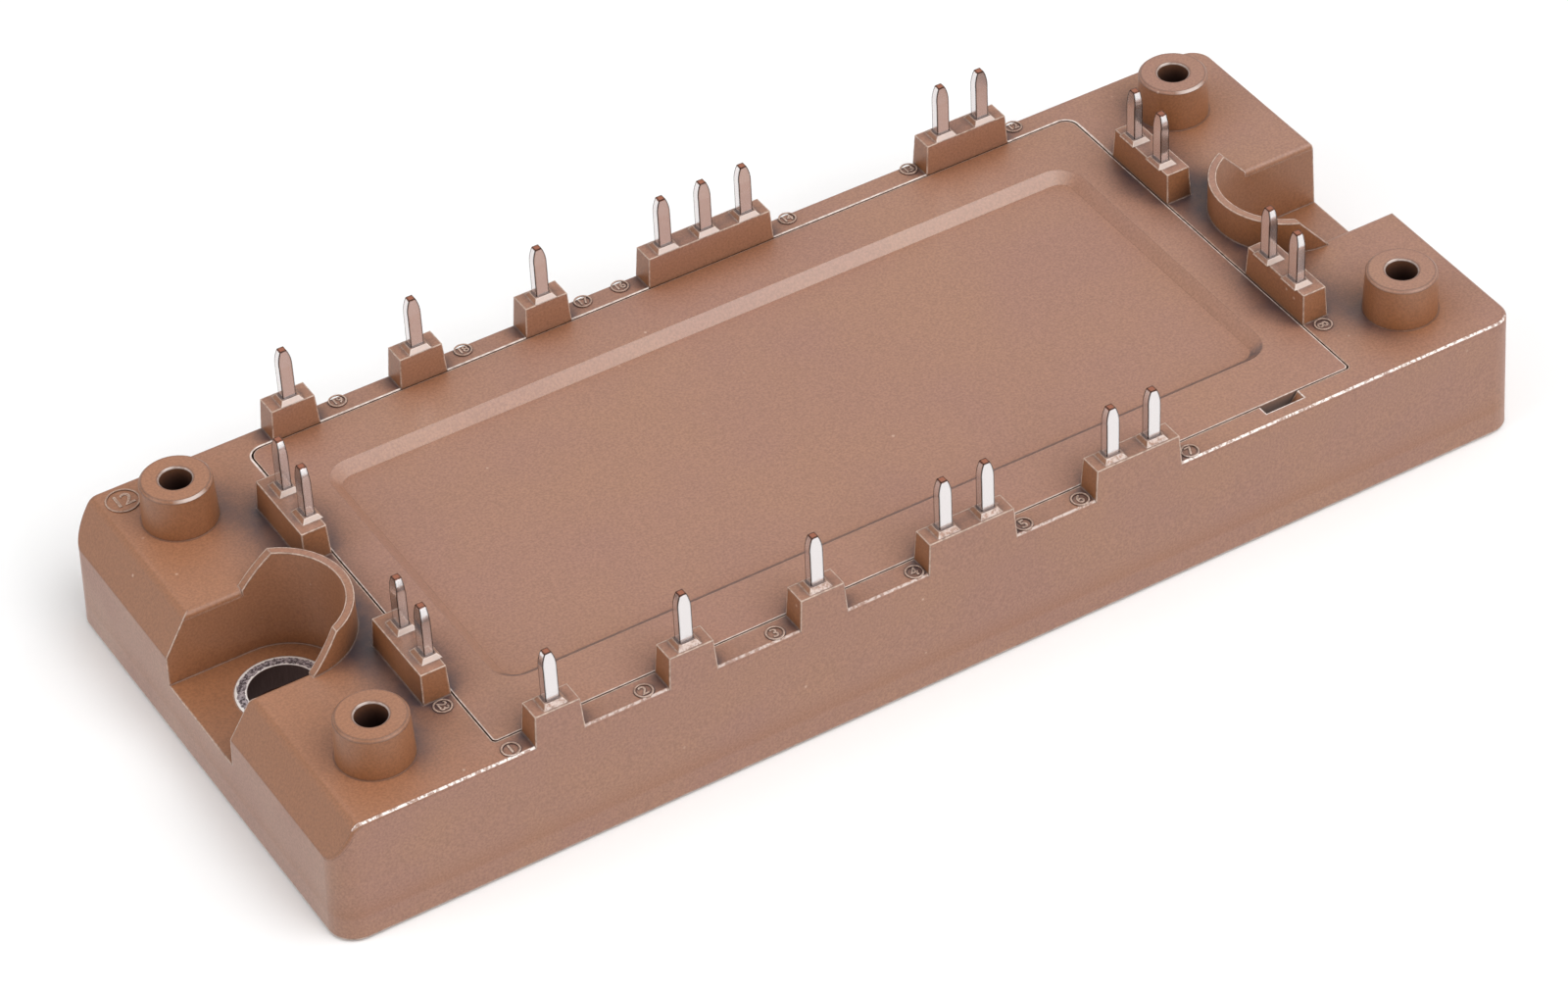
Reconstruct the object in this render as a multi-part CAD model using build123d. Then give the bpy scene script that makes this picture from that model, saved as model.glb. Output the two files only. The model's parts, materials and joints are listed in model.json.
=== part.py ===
from build123d import *
import math
import os

# IGBT power module in a moulded frame housing. Millimetres, +Z up, +X along the long side.
# The origin is at the centre of the base plate's underside, the face that meets the heat sink.

# Housing frame, outside
housing_length = 107.5
housing_width = 45.0
housing_corner_radius = 2.2
wall_draft = 2.0
deck_height = 10.85  # from the housing's lower edge to the flat deck round the lid
deck_edge_round = 0.3
overcut = 1.0  # how far a cutter runs past the face that it opens

# Sloped end of the housing, at the low-X side only
slope_ridge_inset = 2.35  # from the housing's end to the ridge, at deck level
slope_run = 2.0
slope_drop = 3.25
slope_ridge_round = 1.0

# Base plate, let into the housing's underside and standing a little proud of it
plate_thickness = 3.0
plate_proud = 0.3
plate_wall = 1.35  # housing wall left round the plate
plate_clearance = 0.15
plate_corner_radius = 1.5

# Screw holes and their keyhole pockets, open to the short ends
screw_inset = 7.25  # from the housing's end to the screw's axis
screw_hole_diameter = 5.5
bush_wall = 1.0
bush_proud = 0.05
bush_split = 0.35
bush_split_angle = 215.0
pocket_floor_height = 4.8  # above the housing's lower edge
pocket_radius = 5.3  # also half the channel's width
channel_edge_round = 0.5  # where the channel's walls meet the deck
pocket_draft = 1.7
collar_wall = 0.77
collar_height = 2.95  # above the deck
collar_crest_reach = 2.5  # how far inboard of the screw's axis the collar starts to drop
collar_toe_reach = 0.05  # how far outboard of the screw's axis it meets the deck

# Posts that carry the circuit board, with blind holes for thread-forming screws
post_inset_x = 7.25
post_inset_y = 6.5
post_height = 3.85
post_top_diameter = 5.8
post_foot_diameter = 6.1
post_rim_chamfer = 0.2
post_hole_diameter = 2.6
post_hole_depth = 10.0
post_hole_chamfer = 0.13

# Cored corners under the deck, closed by the base plate
core_inner_inset = 11.2  # from the housing's end to the core's inboard face
core_end_wall = 2.9
core_side_wall = 2.0
core_channel_wall = 1.6
core_roof = 1.8
core_corner_radius = 0.8
boss_radius = 3.0
rib_thickness = 1.2

# Terminals, stamped and bent from strip, on one common grid
grid_pitch = 3.81
row_inset_y = 1.545  # from the housing's long side to the pins' centre line
row_inset_x = 14.22  # from the housing's end to the short rows' centre line
row_end_room = 2.5  # least distance from the long rows' outermost pins to the opening's end
pin_width = 1.15
pin_thickness = 0.8
pin_height = 4.9  # above the blocks
pin_tip_length = 1.5
pin_tip_width = 0.56
pin_tip_thickness = 0.6
pin_tip_bulge = 0.1  # how far each tapered side stands out of its straight line
foot_width = 2.0
foot_top_above_plate = 2.8
foot_proud = 0.2
foot_edge_gap = 0.3
bend_radius = 0.9

# Blocks that stand on the deck round the terminals
block_height = 2.77
block_end = 1.9  # from the outermost pin's centre to the block's end, at the top
block_end_draft = 0.2
block_inner_draft = 0.1
side_block_inner = 0.75
side_block_outer = 1.6
pin_collar_height = 0.37
pin_collar_foot_width = 2.0
pin_collar_foot_depth = 1.75
pin_collar_top_width = 1.45
pin_collar_top_depth = 1.15

# Lid and its opening
opening_to_row_y = 1.005  # from the long rows' centre line to the opening's edge
opening_to_row_x = 0.78
lid_clearance = 0.12
lid_thickness = 1.5
lid_back_radius = 1.1
lid_front_radius = 0.35
seat_width = 1.0
dish_margin_x = 3.57  # from the lid's edge to the dish
dish_margin_y = 5.07
dish_depth = 0.8
dish_slope = 1.0
dish_corner_radius = 2.3
dish_wall_margin = 0.6
skirt_thickness = 1.0
skirt_depth = 1.4
skirt_clearance = 0.2

# Slot at the lid's front edge, for prising it off
pry_slot_start = 30.0
pry_slot_length = 3.6
pry_slot_width = 0.95
pry_slot_depth = 1.3
pry_slot_ramp = 0.9

# Well for the substrates, inside the ledge that carries the terminals' feet
ledge_width_x = 2.05
ledge_width_y = 2.05
well_corner_radius = 1.0
seal_offset = 1.3
seal_width = 1.4
seal_height = 0.4

# Ceramic substrates
substrate_gap = 2.0
substrate_gap_center = -5.7
substrate_edge_gap = 0.5
solder_thickness = 0.1
copper_thickness = 0.3
ceramic_thickness = 0.38
copper_margin = 0.5
track_gap = 0.6
pad_length = 2.4
pad_depth = 1.3
pad_gap = 0.4
left_minus_end = -7.4  # Y where the left substrate's minus track ends
left_middle_end = 5.6
right_minus_end = -13.2
right_middle_end = 0.2

# Chips and thermistor
chip_thickness = 0.25
rectifier_chip = 5.2
rectifier_edge = 1.7  # from a track's front edge to the rectifier chip on it
rectifier_landing = 1.5  # from a track's back edge to the foot of the wires that land on it
igbt_chip = 5.6
diode_chip = 4.0
inverter_edge = 0.6
inverter_landing = 0.5
chip_gap = 0.6
thermistor_length = 2.0
thermistor_width = 1.25
thermistor_height = 0.9

# Bond wires
wire_diameter = 0.36
wire_foot = 0.6
wire_loop = 1.5
wire_pitch = 1.5

# Worked out from the sizes above
base_z = plate_proud
plate_top = plate_thickness
deck_z = base_z + deck_height
block_top = deck_z + block_height
pin_top = block_top + pin_height
floor_z = base_z + pocket_floor_height
half_length = housing_length / 2
half_width = housing_width / 2
screw_x = half_length - screw_inset
post_x = half_length - post_inset_x
post_y = half_width - post_inset_y
row_x = half_length - row_inset_x
row_y = half_width - row_inset_y
opening_x = row_x - opening_to_row_x
opening_y = row_y - opening_to_row_y
seat_z = deck_z - lid_thickness
throat_x = opening_x - seat_width
throat_y = opening_y - seat_width
well_x = throat_x - ledge_width_x
well_y = throat_y - ledge_width_y
foot_top = plate_top + foot_top_above_plate
foot_bottom = foot_top - pin_thickness
ledge_z = foot_top - foot_proud
plate_half_length = half_length - plate_wall - plate_clearance
plate_half_width = half_width - plate_wall - plate_clearance
bush_radius = screw_hole_diameter / 2 + bush_wall
track_top = plate_top + solder_thickness + 2 * copper_thickness + ceramic_thickness
chip_top = track_top + chip_thickness
copper_y = well_y - substrate_edge_gap - copper_margin

# Terminals by side: the number printed beside each and its place on the grid
end_step = int((opening_x - row_end_room) / grid_pitch)
front_row = {1: -end_step, 2: 3 - end_step, 3: 6 - end_step, 4: 0, 5: 1, 6: 4, 7: 5}
right_row = {8: -3, 9: -2, 10: 2, 11: 3}
back_right = {12: end_step - 1, 13: end_step - 2, 14: 2, 15: 1, 16: 0}
back_left = {17: 6 - end_step, 18: 3 - end_step, 19: -end_step}
back_row = back_right | back_left
left_row = {20: 3, 21: 2, 22: -2, 23: -3}


def slab(length, width, radius, low, high):
    """A plate with rounded corners, centred on the origin, between two heights."""
    return extrude(Pos(0, 0, low) * RectangleRounded(length, width, radius), high - low)


def box_between(x0, x1, y0, y1, z0, z1):
    """A box given by its lowest and highest corners."""
    return Pos((x0 + x1) / 2, (y0 + y1) / 2, (z0 + z1) / 2) * Box(x1 - x0, y1 - y0, z1 - z0)


def prism(plane, points, half_depth):
    """A prism with its section drawn in a plane through the origin, as deep on both sides of it."""
    return extrude(make_face(plane * Polyline(*points, close=True)), half_depth, both=True)


def wedge(plane, foot, top, low, high, half_depth):
    """A prism with a trapezoid section: its foot's and top's widths at two heights."""
    points = [(-foot / 2, low), (foot / 2, low), (top / 2, high), (-top / 2, high)]
    return prism(plane, points, half_depth)


def frustum(x, y, foot, top, low, high):
    """A four-sided frustum with its foot and top given as (length along X, length along Y)."""
    along_x = wedge(Plane.XZ, foot[0], top[0], low, high, foot[1])
    along_y = wedge(Plane.YZ, foot[1], top[1], low, high, foot[0])
    return Pos(x, y, 0) * (along_x & along_y)


def lid_outline(half_x, half_y):
    """Lid or opening outline: round corners at the back, nearly sharp ones at the front."""
    outline = Rectangle(2 * half_x, 2 * half_y)
    back = outline.vertices().group_by(Axis.Y)[-1]
    outline = fillet(back, lid_back_radius)
    front = outline.vertices().group_by(Axis.Y)[0]
    return fillet(front, lid_front_radius)


def terminal_places():
    """Each terminal's number with its x, y and the turn that points its foot inwards."""
    places = {}
    for number, step in front_row.items():
        places[number] = (step * grid_pitch, -row_y, 0)
    for number, step in right_row.items():
        places[number] = (row_x, step * grid_pitch, 90)
    for number, step in back_row.items():
        places[number] = (step * grid_pitch, row_y, 180)
    for number, step in left_row.items():
        places[number] = (-row_x, step * grid_pitch, 270)
    return places


def blocks_of(row):
    """Groups of neighbouring grid steps in a row: each group stands in one block."""
    steps = sorted(row.values())
    groups = [[steps[0]]]
    for step in steps[1:]:
        if step - groups[-1][-1] == 1:
            groups[-1].append(step)
        else:
            groups.append([step])
    return [(group[0] * grid_pitch, group[-1] * grid_pitch) for group in groups]


def pin_tip(low):
    """Upper end of a pin: its narrow sides curve in to the blunt tip, its faces taper a little."""
    half_width_low = pin_width / 2
    half_width_high = pin_tip_width / 2
    middle = ((half_width_low + half_width_high) / 2 + pin_tip_bulge, low + pin_tip_length / 2)
    right = ThreePointArc((half_width_low, low), middle, (half_width_high, pin_top))
    left = ThreePointArc((-half_width_high, pin_top), (-middle[0], middle[1]), (-half_width_low, low))
    top = Line((half_width_high, pin_top), (-half_width_high, pin_top))
    foot = Line((-half_width_low, low), (half_width_low, low))
    blade = extrude(Plane.XZ * make_face(right + top + left + foot), pin_thickness, both=True)
    return blade & wedge(Plane.YZ, pin_thickness, pin_tip_thickness, low, pin_top, pin_width)


def terminal(turn):
    """Bent terminal at the origin: upright pin, foot along the turned +Y axis."""
    half = pin_thickness / 2
    to_throat = row_x - throat_x if turn % 180 else row_y - throat_y
    ledge = ledge_width_x if turn % 180 else ledge_width_y
    reach = to_throat + ledge - foot_edge_gap
    taper_z = pin_top - pin_tip_length
    points = [
        (-half, foot_bottom),
        (reach, foot_bottom),
        (reach, foot_top),
        (half, foot_top),
        (half, taper_z),
        (-half, taper_z),
    ]
    strip = prism(Plane.YZ, points, pin_width / 2)
    across = strip.edges().filter_by(Axis.X)
    outer_bend = across.sort_by_distance((0, -half, foot_bottom))[0]
    strip = fillet(outer_bend, bend_radius)
    pad = box_between(-foot_width / 2, foot_width / 2, to_throat, reach, foot_bottom, foot_top)
    return Rot(0, 0, turn) * (strip + pad + pin_tip(taper_z))


def terminals():
    """All terminals by number, each at its place."""
    by_turn = {turn: terminal(turn) for turn in (0, 90, 180, 270)}
    return {number: Pos(x, y, 0) * by_turn[turn] for number, (x, y, turn) in terminal_places().items()}


def drafted_shell():
    """The housing's drafted outside, carried up to the tops of the blocks."""
    outline = Pos(0, 0, base_z) * RectangleRounded(housing_length, housing_width, housing_corner_radius)
    return extrude(outline, block_top - base_z, taper=wall_draft)


def end_slope():
    """Cutter for the sloped end: its ridge is an arc that runs into the deck and the slope."""
    ridge_x = slope_ridge_inset - half_length
    angle = math.atan2(slope_drop, slope_run)
    tangent = slope_ridge_round * math.tan(angle / 2)
    start = (ridge_x + tangent, deck_z)
    end = (ridge_x - tangent * math.cos(angle), deck_z - tangent * math.sin(angle))
    past = slope_run + 2 * overcut
    foot = (ridge_x - past, deck_z - past * slope_drop / slope_run)
    above = deck_z + overcut
    ridge = TangentArc(start, end, tangent=(-1, 0))
    rest = Polyline(end, foot, (foot[0], above), (start[0], above), start)
    return extrude(Plane.XZ * make_face(ridge + rest), housing_width, both=True)


def deck_body(shell):
    """The plain block up to the deck, with its sloped end and its softened top edge."""
    body = split(shell, bisect_by=Plane.XY.offset(deck_z), keep=Keep.BOTTOM)
    body = body - end_slope()
    top = body.edges().group_by(Axis.Z)[-1]
    rim = top.filter_by(lambda edge: edge.center().X > slope_run - half_length)
    return fillet(rim, deck_edge_round)


def post():
    """Circuit board post at the origin of the deck, tapering a little, with its rim broken."""
    top = post_top_diameter / 2
    foot = post_foot_diameter / 2
    root = -core_roof / 2
    side = [(0, root), (foot, root), (foot, 0), (top, post_height - post_rim_chamfer)]
    crown = [(top - post_rim_chamfer, post_height), (0, post_height)]
    return revolve(make_face(Plane.XZ * Polyline(*side, *crown, close=True)), Axis.Z)


def post_hole():
    """Blind screw hole with a countersunk mouth, measured from the deck."""
    radius = post_hole_diameter / 2
    mouth = radius + post_hole_chamfer
    bottom = post_height - post_hole_depth
    over = post_height + post_hole_chamfer
    wall = [(0, over), (0, bottom), (radius, bottom), (radius, post_height - post_hole_chamfer)]
    lip = [(mouth, post_height), (mouth, over)]
    return revolve(make_face(Plane.XZ * Polyline(*wall, *lip, close=True)), Axis.Z)


def pocket_cutter():
    """Keyhole pocket of the right-hand screw: a drafted round end and a drafted channel."""
    height = deck_z + collar_height + overcut - floor_z
    reach = screw_inset + 2 * overcut
    keyhole = Circle(pocket_radius) + Pos(reach / 2, 0) * Rectangle(reach, 2 * pocket_radius)
    return extrude(Pos(screw_x, 0, floor_z) * keyhole, height, taper=-pocket_draft)


def channel_lips():
    """Cutter that rounds the right-hand channel's upper edges, from the collar's toe outwards."""
    wall_y = pocket_radius + (deck_z - floor_z) * math.tan(math.radians(pocket_draft))
    reach_y = wall_y + channel_edge_round
    low = deck_z - channel_edge_round
    start = screw_x + collar_toe_reach
    end = half_length + overcut
    trough = box_between(start, end, -reach_y, reach_y, low, deck_z + overcut)
    roller = Rot(0, 90, 0) * Cylinder(channel_edge_round, 2 * (end - start))
    return trough - [Pos((start + end) / 2, side * reach_y, low) * roller for side in (-1, 1)]


def pocket_collar():
    """Raised wall round the right-hand pocket's inboard half, its rim sloping down to the deck."""
    outer = pocket_radius + collar_wall + deck_height * math.tan(math.radians(pocket_draft)) / 2
    low = deck_z - core_roof / 2
    high = deck_z + collar_height
    ring = Pos(screw_x, 0, (low + high) / 2) * Cylinder(outer, high - low)
    points = [
        (screw_x - outer - overcut, low),
        (screw_x - outer - overcut, high),
        (screw_x - collar_crest_reach, high),
        (screw_x + collar_toe_reach, deck_z),
        (screw_x + collar_toe_reach, low),
    ]
    return ring & prism(Plane.XZ, points, outer + overcut)


def corner_core():
    """Cored space under one corner of the deck, with the post's boss and its ribs left standing."""
    x0 = half_length - core_inner_inset
    x1 = half_length - core_end_wall
    y0 = pocket_radius + core_channel_wall
    y1 = half_width - core_side_wall
    roof = deck_z - core_roof
    outline = RectangleRounded(x1 - x0, y1 - y0, core_corner_radius)
    core = extrude(Pos((x0 + x1) / 2, (y0 + y1) / 2, plate_top) * outline, roof - plate_top)
    middle = (plate_top + roof) / 2
    boss = Pos(post_x, post_y, middle) * Cylinder(boss_radius, roof - plate_top)
    along = Pos(post_x, post_y, middle) * Box(2 * core_inner_inset, rib_thickness, roof - plate_top)
    across = Pos(post_x, post_y, middle) * Box(rib_thickness, housing_width, roof - plate_top)
    return core - [boss, along, across]


def long_side_blocks(row, side, shell):
    """Blocks of the front (-1) or back (+1) row, their outer faces flush with the long wall."""
    blocks = []
    low = deck_z - core_roof / 2
    for first, last in blocks_of(row):
        middle = (first + last) / 2
        length = last - first + 2 * block_end
        depth = half_width - opening_y + overcut
        foot = (length + 2 * block_end_draft, depth)
        top = (length, depth - 2 * block_inner_draft)
        block = frustum(middle, side * (opening_y + depth / 2), foot, top, deck_z, block_top)
        root = frustum(middle, side * (opening_y + depth / 2), foot, foot, low, deck_z)
        blocks.append((block + root) & shell)
    return blocks


def short_side_blocks(row, side):
    """Blocks of the left (-1) or right (+1) row, standing free on the deck beside the lid."""
    blocks = []
    low = deck_z - core_roof / 2
    middle_x = side * (row_x + (side_block_outer - side_block_inner) / 2)
    depth = side_block_outer + side_block_inner
    for first, last in blocks_of(row):
        middle = (first + last) / 2
        length = last - first + 2 * block_end
        foot = (depth, length + 2 * block_end_draft)
        top = (depth - 2 * block_inner_draft, length)
        block = frustum(middle_x, middle, foot, top, deck_z, block_top)
        blocks.append(block + frustum(middle_x, middle, foot, foot, low, deck_z))
    return blocks


def pin_collars():
    """Small frustum of plastic round each pin where it leaves its block."""
    collars = []
    foot = (pin_collar_foot_width, pin_collar_foot_depth)
    top = (pin_collar_top_width, pin_collar_top_depth)
    for x, y, turn in terminal_places().values():
        sizes = (foot, top) if turn % 180 == 0 else (foot[::-1], top[::-1])
        collars.append(frustum(x, y, *sizes, block_top, block_top + pin_collar_height))
    return collars


def pry_slot():
    """Slot in the deck at the lid's front edge, with a ramp at its high-X end."""
    end = pry_slot_start + pry_slot_length
    points = [
        (pry_slot_start, deck_z + overcut),
        (pry_slot_start, deck_z - pry_slot_depth),
        (end - pry_slot_ramp, deck_z - pry_slot_depth),
        (end, deck_z),
        (end, deck_z + overcut),
    ]
    band = prism(Plane.XZ, points, housing_width)
    front = -opening_y - pry_slot_width
    return band & box_between(0, half_length, front, -opening_y + overcut, 0, deck_z + overcut)


def inside_cutters():
    """Lid opening, throat, substrate well, plate rebate and seal groove."""
    return [
        extrude(Pos(0, 0, seat_z) * lid_outline(opening_x, opening_y), lid_thickness + overcut),
        slab(2 * throat_x, 2 * throat_y, well_corner_radius, ledge_z, seat_z + overcut),
        slab(2 * well_x, 2 * well_y, well_corner_radius, plate_top - overcut, ledge_z + overcut),
        slab(
            2 * (plate_half_length + plate_clearance),
            2 * (plate_half_width + plate_clearance),
            plate_corner_radius + plate_clearance,
            base_z - overcut,
            plate_top,
        ),
        seal(),
    ]


def seal():
    """Adhesive ring between the frame and the base plate."""
    inner_x = well_x + seal_offset
    inner_y = well_y + seal_offset
    outer_x = inner_x + seal_width
    outer_y = inner_y + seal_width
    outer = RectangleRounded(2 * outer_x, 2 * outer_y, well_corner_radius + seal_width)
    ring = outer - RectangleRounded(2 * inner_x, 2 * inner_y, well_corner_radius)
    return extrude(Pos(0, 0, plate_top) * ring, seal_height)


def housing(pins):
    """The moulded frame: deck, posts, collars, blocks, pockets, cores and the terminals' seats."""
    shell = drafted_shell()
    body = deck_body(shell)
    body += long_side_blocks(front_row, -1, shell)
    body += long_side_blocks(back_row, 1, shell)
    body += short_side_blocks(right_row, 1)
    body += short_side_blocks(left_row, -1)
    body += pin_collars()
    corners = [(sx, sy) for sx in (-1, 1) for sy in (-1, 1)]
    body += [Pos(sx * post_x, sy * post_y, deck_z) * post() for sx, sy in corners]
    collar = pocket_collar()
    body += [collar, mirror(collar, about=Plane.YZ)]
    cutters = inside_cutters()
    pocket = pocket_cutter()
    lips = channel_lips()
    cutters += [pocket, mirror(pocket, about=Plane.YZ), lips, mirror(lips, about=Plane.YZ), pry_slot()]
    cutters += [Pos(sx * post_x, sy * post_y, deck_z) * post_hole() for sx, sy in corners]
    core = corner_core()
    cutters += [core, mirror(core, about=Plane.YZ), mirror(core, about=Plane.XZ), Rot(0, 0, 180) * core]
    bush_hole = Cylinder(bush_radius, 2 * floor_z)
    cutters += [Pos(side * screw_x, 0, plate_top) * bush_hole for side in (-1, 1)]
    body -= cutters
    return body - list(pins.values())


def bush(side):
    """Rolled steel bush in the pocket's floor, with the seam where its strip ends meet."""
    high = floor_z + bush_proud
    middle = (plate_top + high) / 2
    height = high - plate_top
    ring = Cylinder(bush_radius, height) - Cylinder(screw_hole_diameter / 2, height)
    seam = Pos(bush_radius, 0, 0) * Box(2 * bush_wall + overcut, bush_split, height)
    return Pos(side * screw_x, 0, middle) * (ring - Rot(0, 0, bush_split_angle) * seam)


def base_plate():
    """Nickel-plated copper plate with the two screw holes."""
    plate = slab(2 * plate_half_length, 2 * plate_half_width, plate_corner_radius, 0, plate_thickness)
    hole = Cylinder(screw_hole_diameter / 2, 4 * plate_thickness)
    return plate - [Pos(side * screw_x, 0, 0) * hole for side in (-1, 1)]


def dished(half_x, half_y, low, high):
    """A tray-shaped body that narrows downwards by the dish's slope."""
    outline = Pos(0, 0, high) * RectangleRounded(2 * half_x, 2 * half_y, dish_corner_radius)
    lean = math.degrees(math.atan2(dish_slope, dish_depth))
    return extrude(outline, high - low, dir=(0, 0, -1), taper=lean)


def lid():
    """Moulded lid with a shallow dish on top and a locating skirt below."""
    half_x = opening_x - lid_clearance
    half_y = opening_y - lid_clearance
    plate = extrude(Pos(0, 0, seat_z) * lid_outline(half_x, half_y), lid_thickness)
    dish_x = half_x - dish_margin_x
    dish_y = half_y - dish_margin_y
    pan = dished(dish_x + dish_wall_margin, dish_y + dish_wall_margin, seat_z - dish_depth, seat_z)
    dish = dished(dish_x, dish_y, deck_z - dish_depth, deck_z)
    skirt_x = throat_x - skirt_clearance
    skirt_y = throat_y - skirt_clearance
    inner_x = skirt_x - skirt_thickness
    inner_y = skirt_y - skirt_thickness
    outer = RectangleRounded(2 * skirt_x, 2 * skirt_y, well_corner_radius + skirt_thickness)
    inner = RectangleRounded(2 * inner_x, 2 * inner_y, well_corner_radius)
    skirt = extrude(Pos(0, 0, seat_z - skirt_depth) * (outer - inner), skirt_depth)
    return plate + skirt + pan - dish


def substrate_spans():
    """Low and high X of the left and right substrates' ceramic."""
    edge = well_x - substrate_edge_gap
    split_low = substrate_gap_center - substrate_gap / 2
    return [(-edge, split_low), (split_low + substrate_gap, edge)]


def layer(span, inset, low, thickness):
    """One flat layer of a substrate, inset from the ceramic's edge."""
    half_y = well_y - substrate_edge_gap - inset
    return box_between(span[0] + inset, span[1] - inset, -half_y, half_y, low, low + thickness)


def landing_pads(span):
    """Centre of the copper pad that each terminal near this substrate is wired to."""
    pads = {}
    low = span[0] + copper_margin
    high = span[1] - copper_margin
    on_right = span[1] > substrate_gap_center
    for number, (x, y, turn) in terminal_places().items():
        if (x > substrate_gap_center) != on_right:
            continue
        if turn % 180 == 0:
            pad_x = min(max(x, low + pad_length / 2), high - pad_length / 2)
            pads[number] = (pad_x, math.copysign(copper_y - pad_depth / 2, y), pad_length, pad_depth)
        else:
            pad_x = high - pad_depth / 2 if on_right else low + pad_depth / 2
            pads[number] = (pad_x, y, pad_depth, pad_length)
    return pads


def flat_box(x, y, length, width, low, thickness):
    """A low box by its centre and its size along X and Y."""
    return Pos(x, y, low + thickness / 2) * Box(length, width, thickness)


def columns(span, count):
    """Centres of equal columns across a substrate, clear of its end's pads, and their width."""
    end_row = pad_depth + pad_gap
    low = span[0] + copper_margin + (end_row if span[0] < -row_x / 2 else 0)
    high = span[1] - copper_margin - (end_row if span[1] > row_x / 2 else 0)
    width = (high - low) / count
    return [low + width * (index + 0.5) for index in range(count)], width


def bands(side):
    """Y limits of the tracks of the left or right substrate, front to back."""
    ends = {"left": (left_minus_end, left_middle_end), "right": (right_minus_end, right_middle_end)}
    minus_end, middle_end = ends[side]
    return {
        "minus": (-copper_y, minus_end),
        "middle": (minus_end + track_gap, middle_end),
        "plus": (middle_end + track_gap, copper_y),
    }


def tracks(span, side, count):
    """Top copper: two rails, one island for each column, and the terminals' pads."""
    low = track_top - copper_thickness
    start = span[0] + copper_margin
    end = span[1] - copper_margin
    limits = bands(side)
    copper = []
    for name in ("minus", "plus"):
        y0, y1 = limits[name]
        copper.append(box_between(start, end, y0, y1, low, track_top))
    y0, y1 = limits["middle"]
    centers, width = columns(span, count)
    for center in centers:
        half = (width - track_gap) / 2
        copper.append(box_between(center - half, center + half, y0, y1, low, track_top))
    pads = landing_pads(span).values()
    moats = []
    for x, y, length, depth in pads:
        moats.append(flat_box(x, y, length + 2 * pad_gap, depth + 2 * pad_gap, low, copper_thickness))
    islands = [piece for slab_of_copper in copper for piece in (slab_of_copper - moats).solids()]
    return islands + [flat_box(x, y, length, depth, low, copper_thickness) for x, y, length, depth in pads]


def chip(x, y, size):
    """A square chip soldered on the top copper."""
    return flat_box(x, y, size, size, track_top, chip_thickness)


def loop_points(start, end, height):
    """Path of one wire loop: flat foot, rise to the loop's top, fall, flat foot."""
    start = Vector(*start)
    end = Vector(*end)
    flat = Vector(end.X - start.X, end.Y - start.Y, 0).normalized()
    half = flat * (wire_foot / 2)
    top = max(start.Z, end.Z) + height
    middle = start + (end - start) * 0.5
    return [start - half, start + half, Vector(middle.X, middle.Y, top), end - half, end + half]


def wire(stops, height):
    """A bond wire stitched over its stops, each (x, y, surface height)."""
    raised = [(x, y, z + wire_diameter / 2) for x, y, z in stops]
    points = []
    for start, end in zip(raised, raised[1:]):
        loop = loop_points(start, end, height)
        points += loop if not points else loop[2:]
    path = Polyline(*points)
    direction = points[1] - points[0]
    plane = Plane(points[0], x_dir=Vector(-direction.Y, direction.X, 0), z_dir=direction)
    section = plane * RegularPolygon(wire_diameter / 2, 6, major_radius=False)
    return sweep(section, path=path, transition=Transition.RIGHT)


def terminal_wires():
    """One wire from each terminal's foot to its pad."""
    wires = []
    pads = {}
    for span in substrate_spans():
        pads.update(landing_pads(span))
    for number, (x, y, turn) in terminal_places().items():
        pad_x, pad_y = pads[number][:2]
        along = ledge_width_x if turn % 180 else ledge_width_y
        inset = along / 2
        if turn % 180:
            foot = (math.copysign(throat_x - inset, x), y, foot_top)
        else:
            foot = (x, math.copysign(throat_y - inset, y), foot_top)
        wires.append(wire([foot, (pad_x, pad_y, track_top)], wire_loop / 2))
    return wires


def circuit():
    """Chips and the wires between them, by kind."""
    left, right = substrate_spans()
    parts = {"igbt": [], "diode": [], "rectifier": [], "wires": []}
    pair = (-wire_pitch / 2, wire_pitch / 2)
    centers, _ = columns(left, 4)
    limits = bands("left")
    upper_y = limits["plus"][0] + rectifier_edge + rectifier_chip / 2
    lower_y = limits["middle"][0] + rectifier_edge + rectifier_chip / 2
    for index, x in enumerate(centers):
        brake = index == 3
        parts["diode" if brake else "rectifier"].append(chip(x, upper_y, rectifier_chip))
        parts["igbt" if brake else "rectifier"].append(chip(x, lower_y, rectifier_chip))
        for chip_y, track in ((upper_y, "middle"), (lower_y, "minus")):
            landing = limits[track][1] - rectifier_landing
            for shift in pair:
                stops = [(x + shift, chip_y, chip_top), (x + shift, landing, track_top)]
                parts["wires"].append(wire(stops, wire_loop))
    centers, _ = columns(right, 3)
    limits = bands("right")
    for x in centers:
        for rail, track in (("plus", "middle"), ("middle", "minus")):
            landing = limits[track][1] - inverter_landing
            diode_y = limits[rail][0] + inverter_edge + diode_chip / 2
            igbt_y = diode_y + diode_chip / 2 + chip_gap + igbt_chip / 2
            parts["diode"].append(chip(x, diode_y, diode_chip))
            parts["igbt"].append(chip(x, igbt_y, igbt_chip))
            for shift in pair:
                stops = [(igbt_y, chip_top), (diode_y, chip_top), (landing, track_top)]
                parts["wires"].append(wire([(x + shift, y, z) for y, z in stops], wire_loop))
    return parts


def thermistor():
    """Chip thermistor that bridges the pads of the two front terminals of the right row."""
    pads = landing_pads(substrate_spans()[1])
    x = pads[8][0]
    y = (pads[8][1] + pads[9][1]) / 2
    return flat_box(x, y, thermistor_width, thermistor_length, track_top, thermistor_height)


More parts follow.
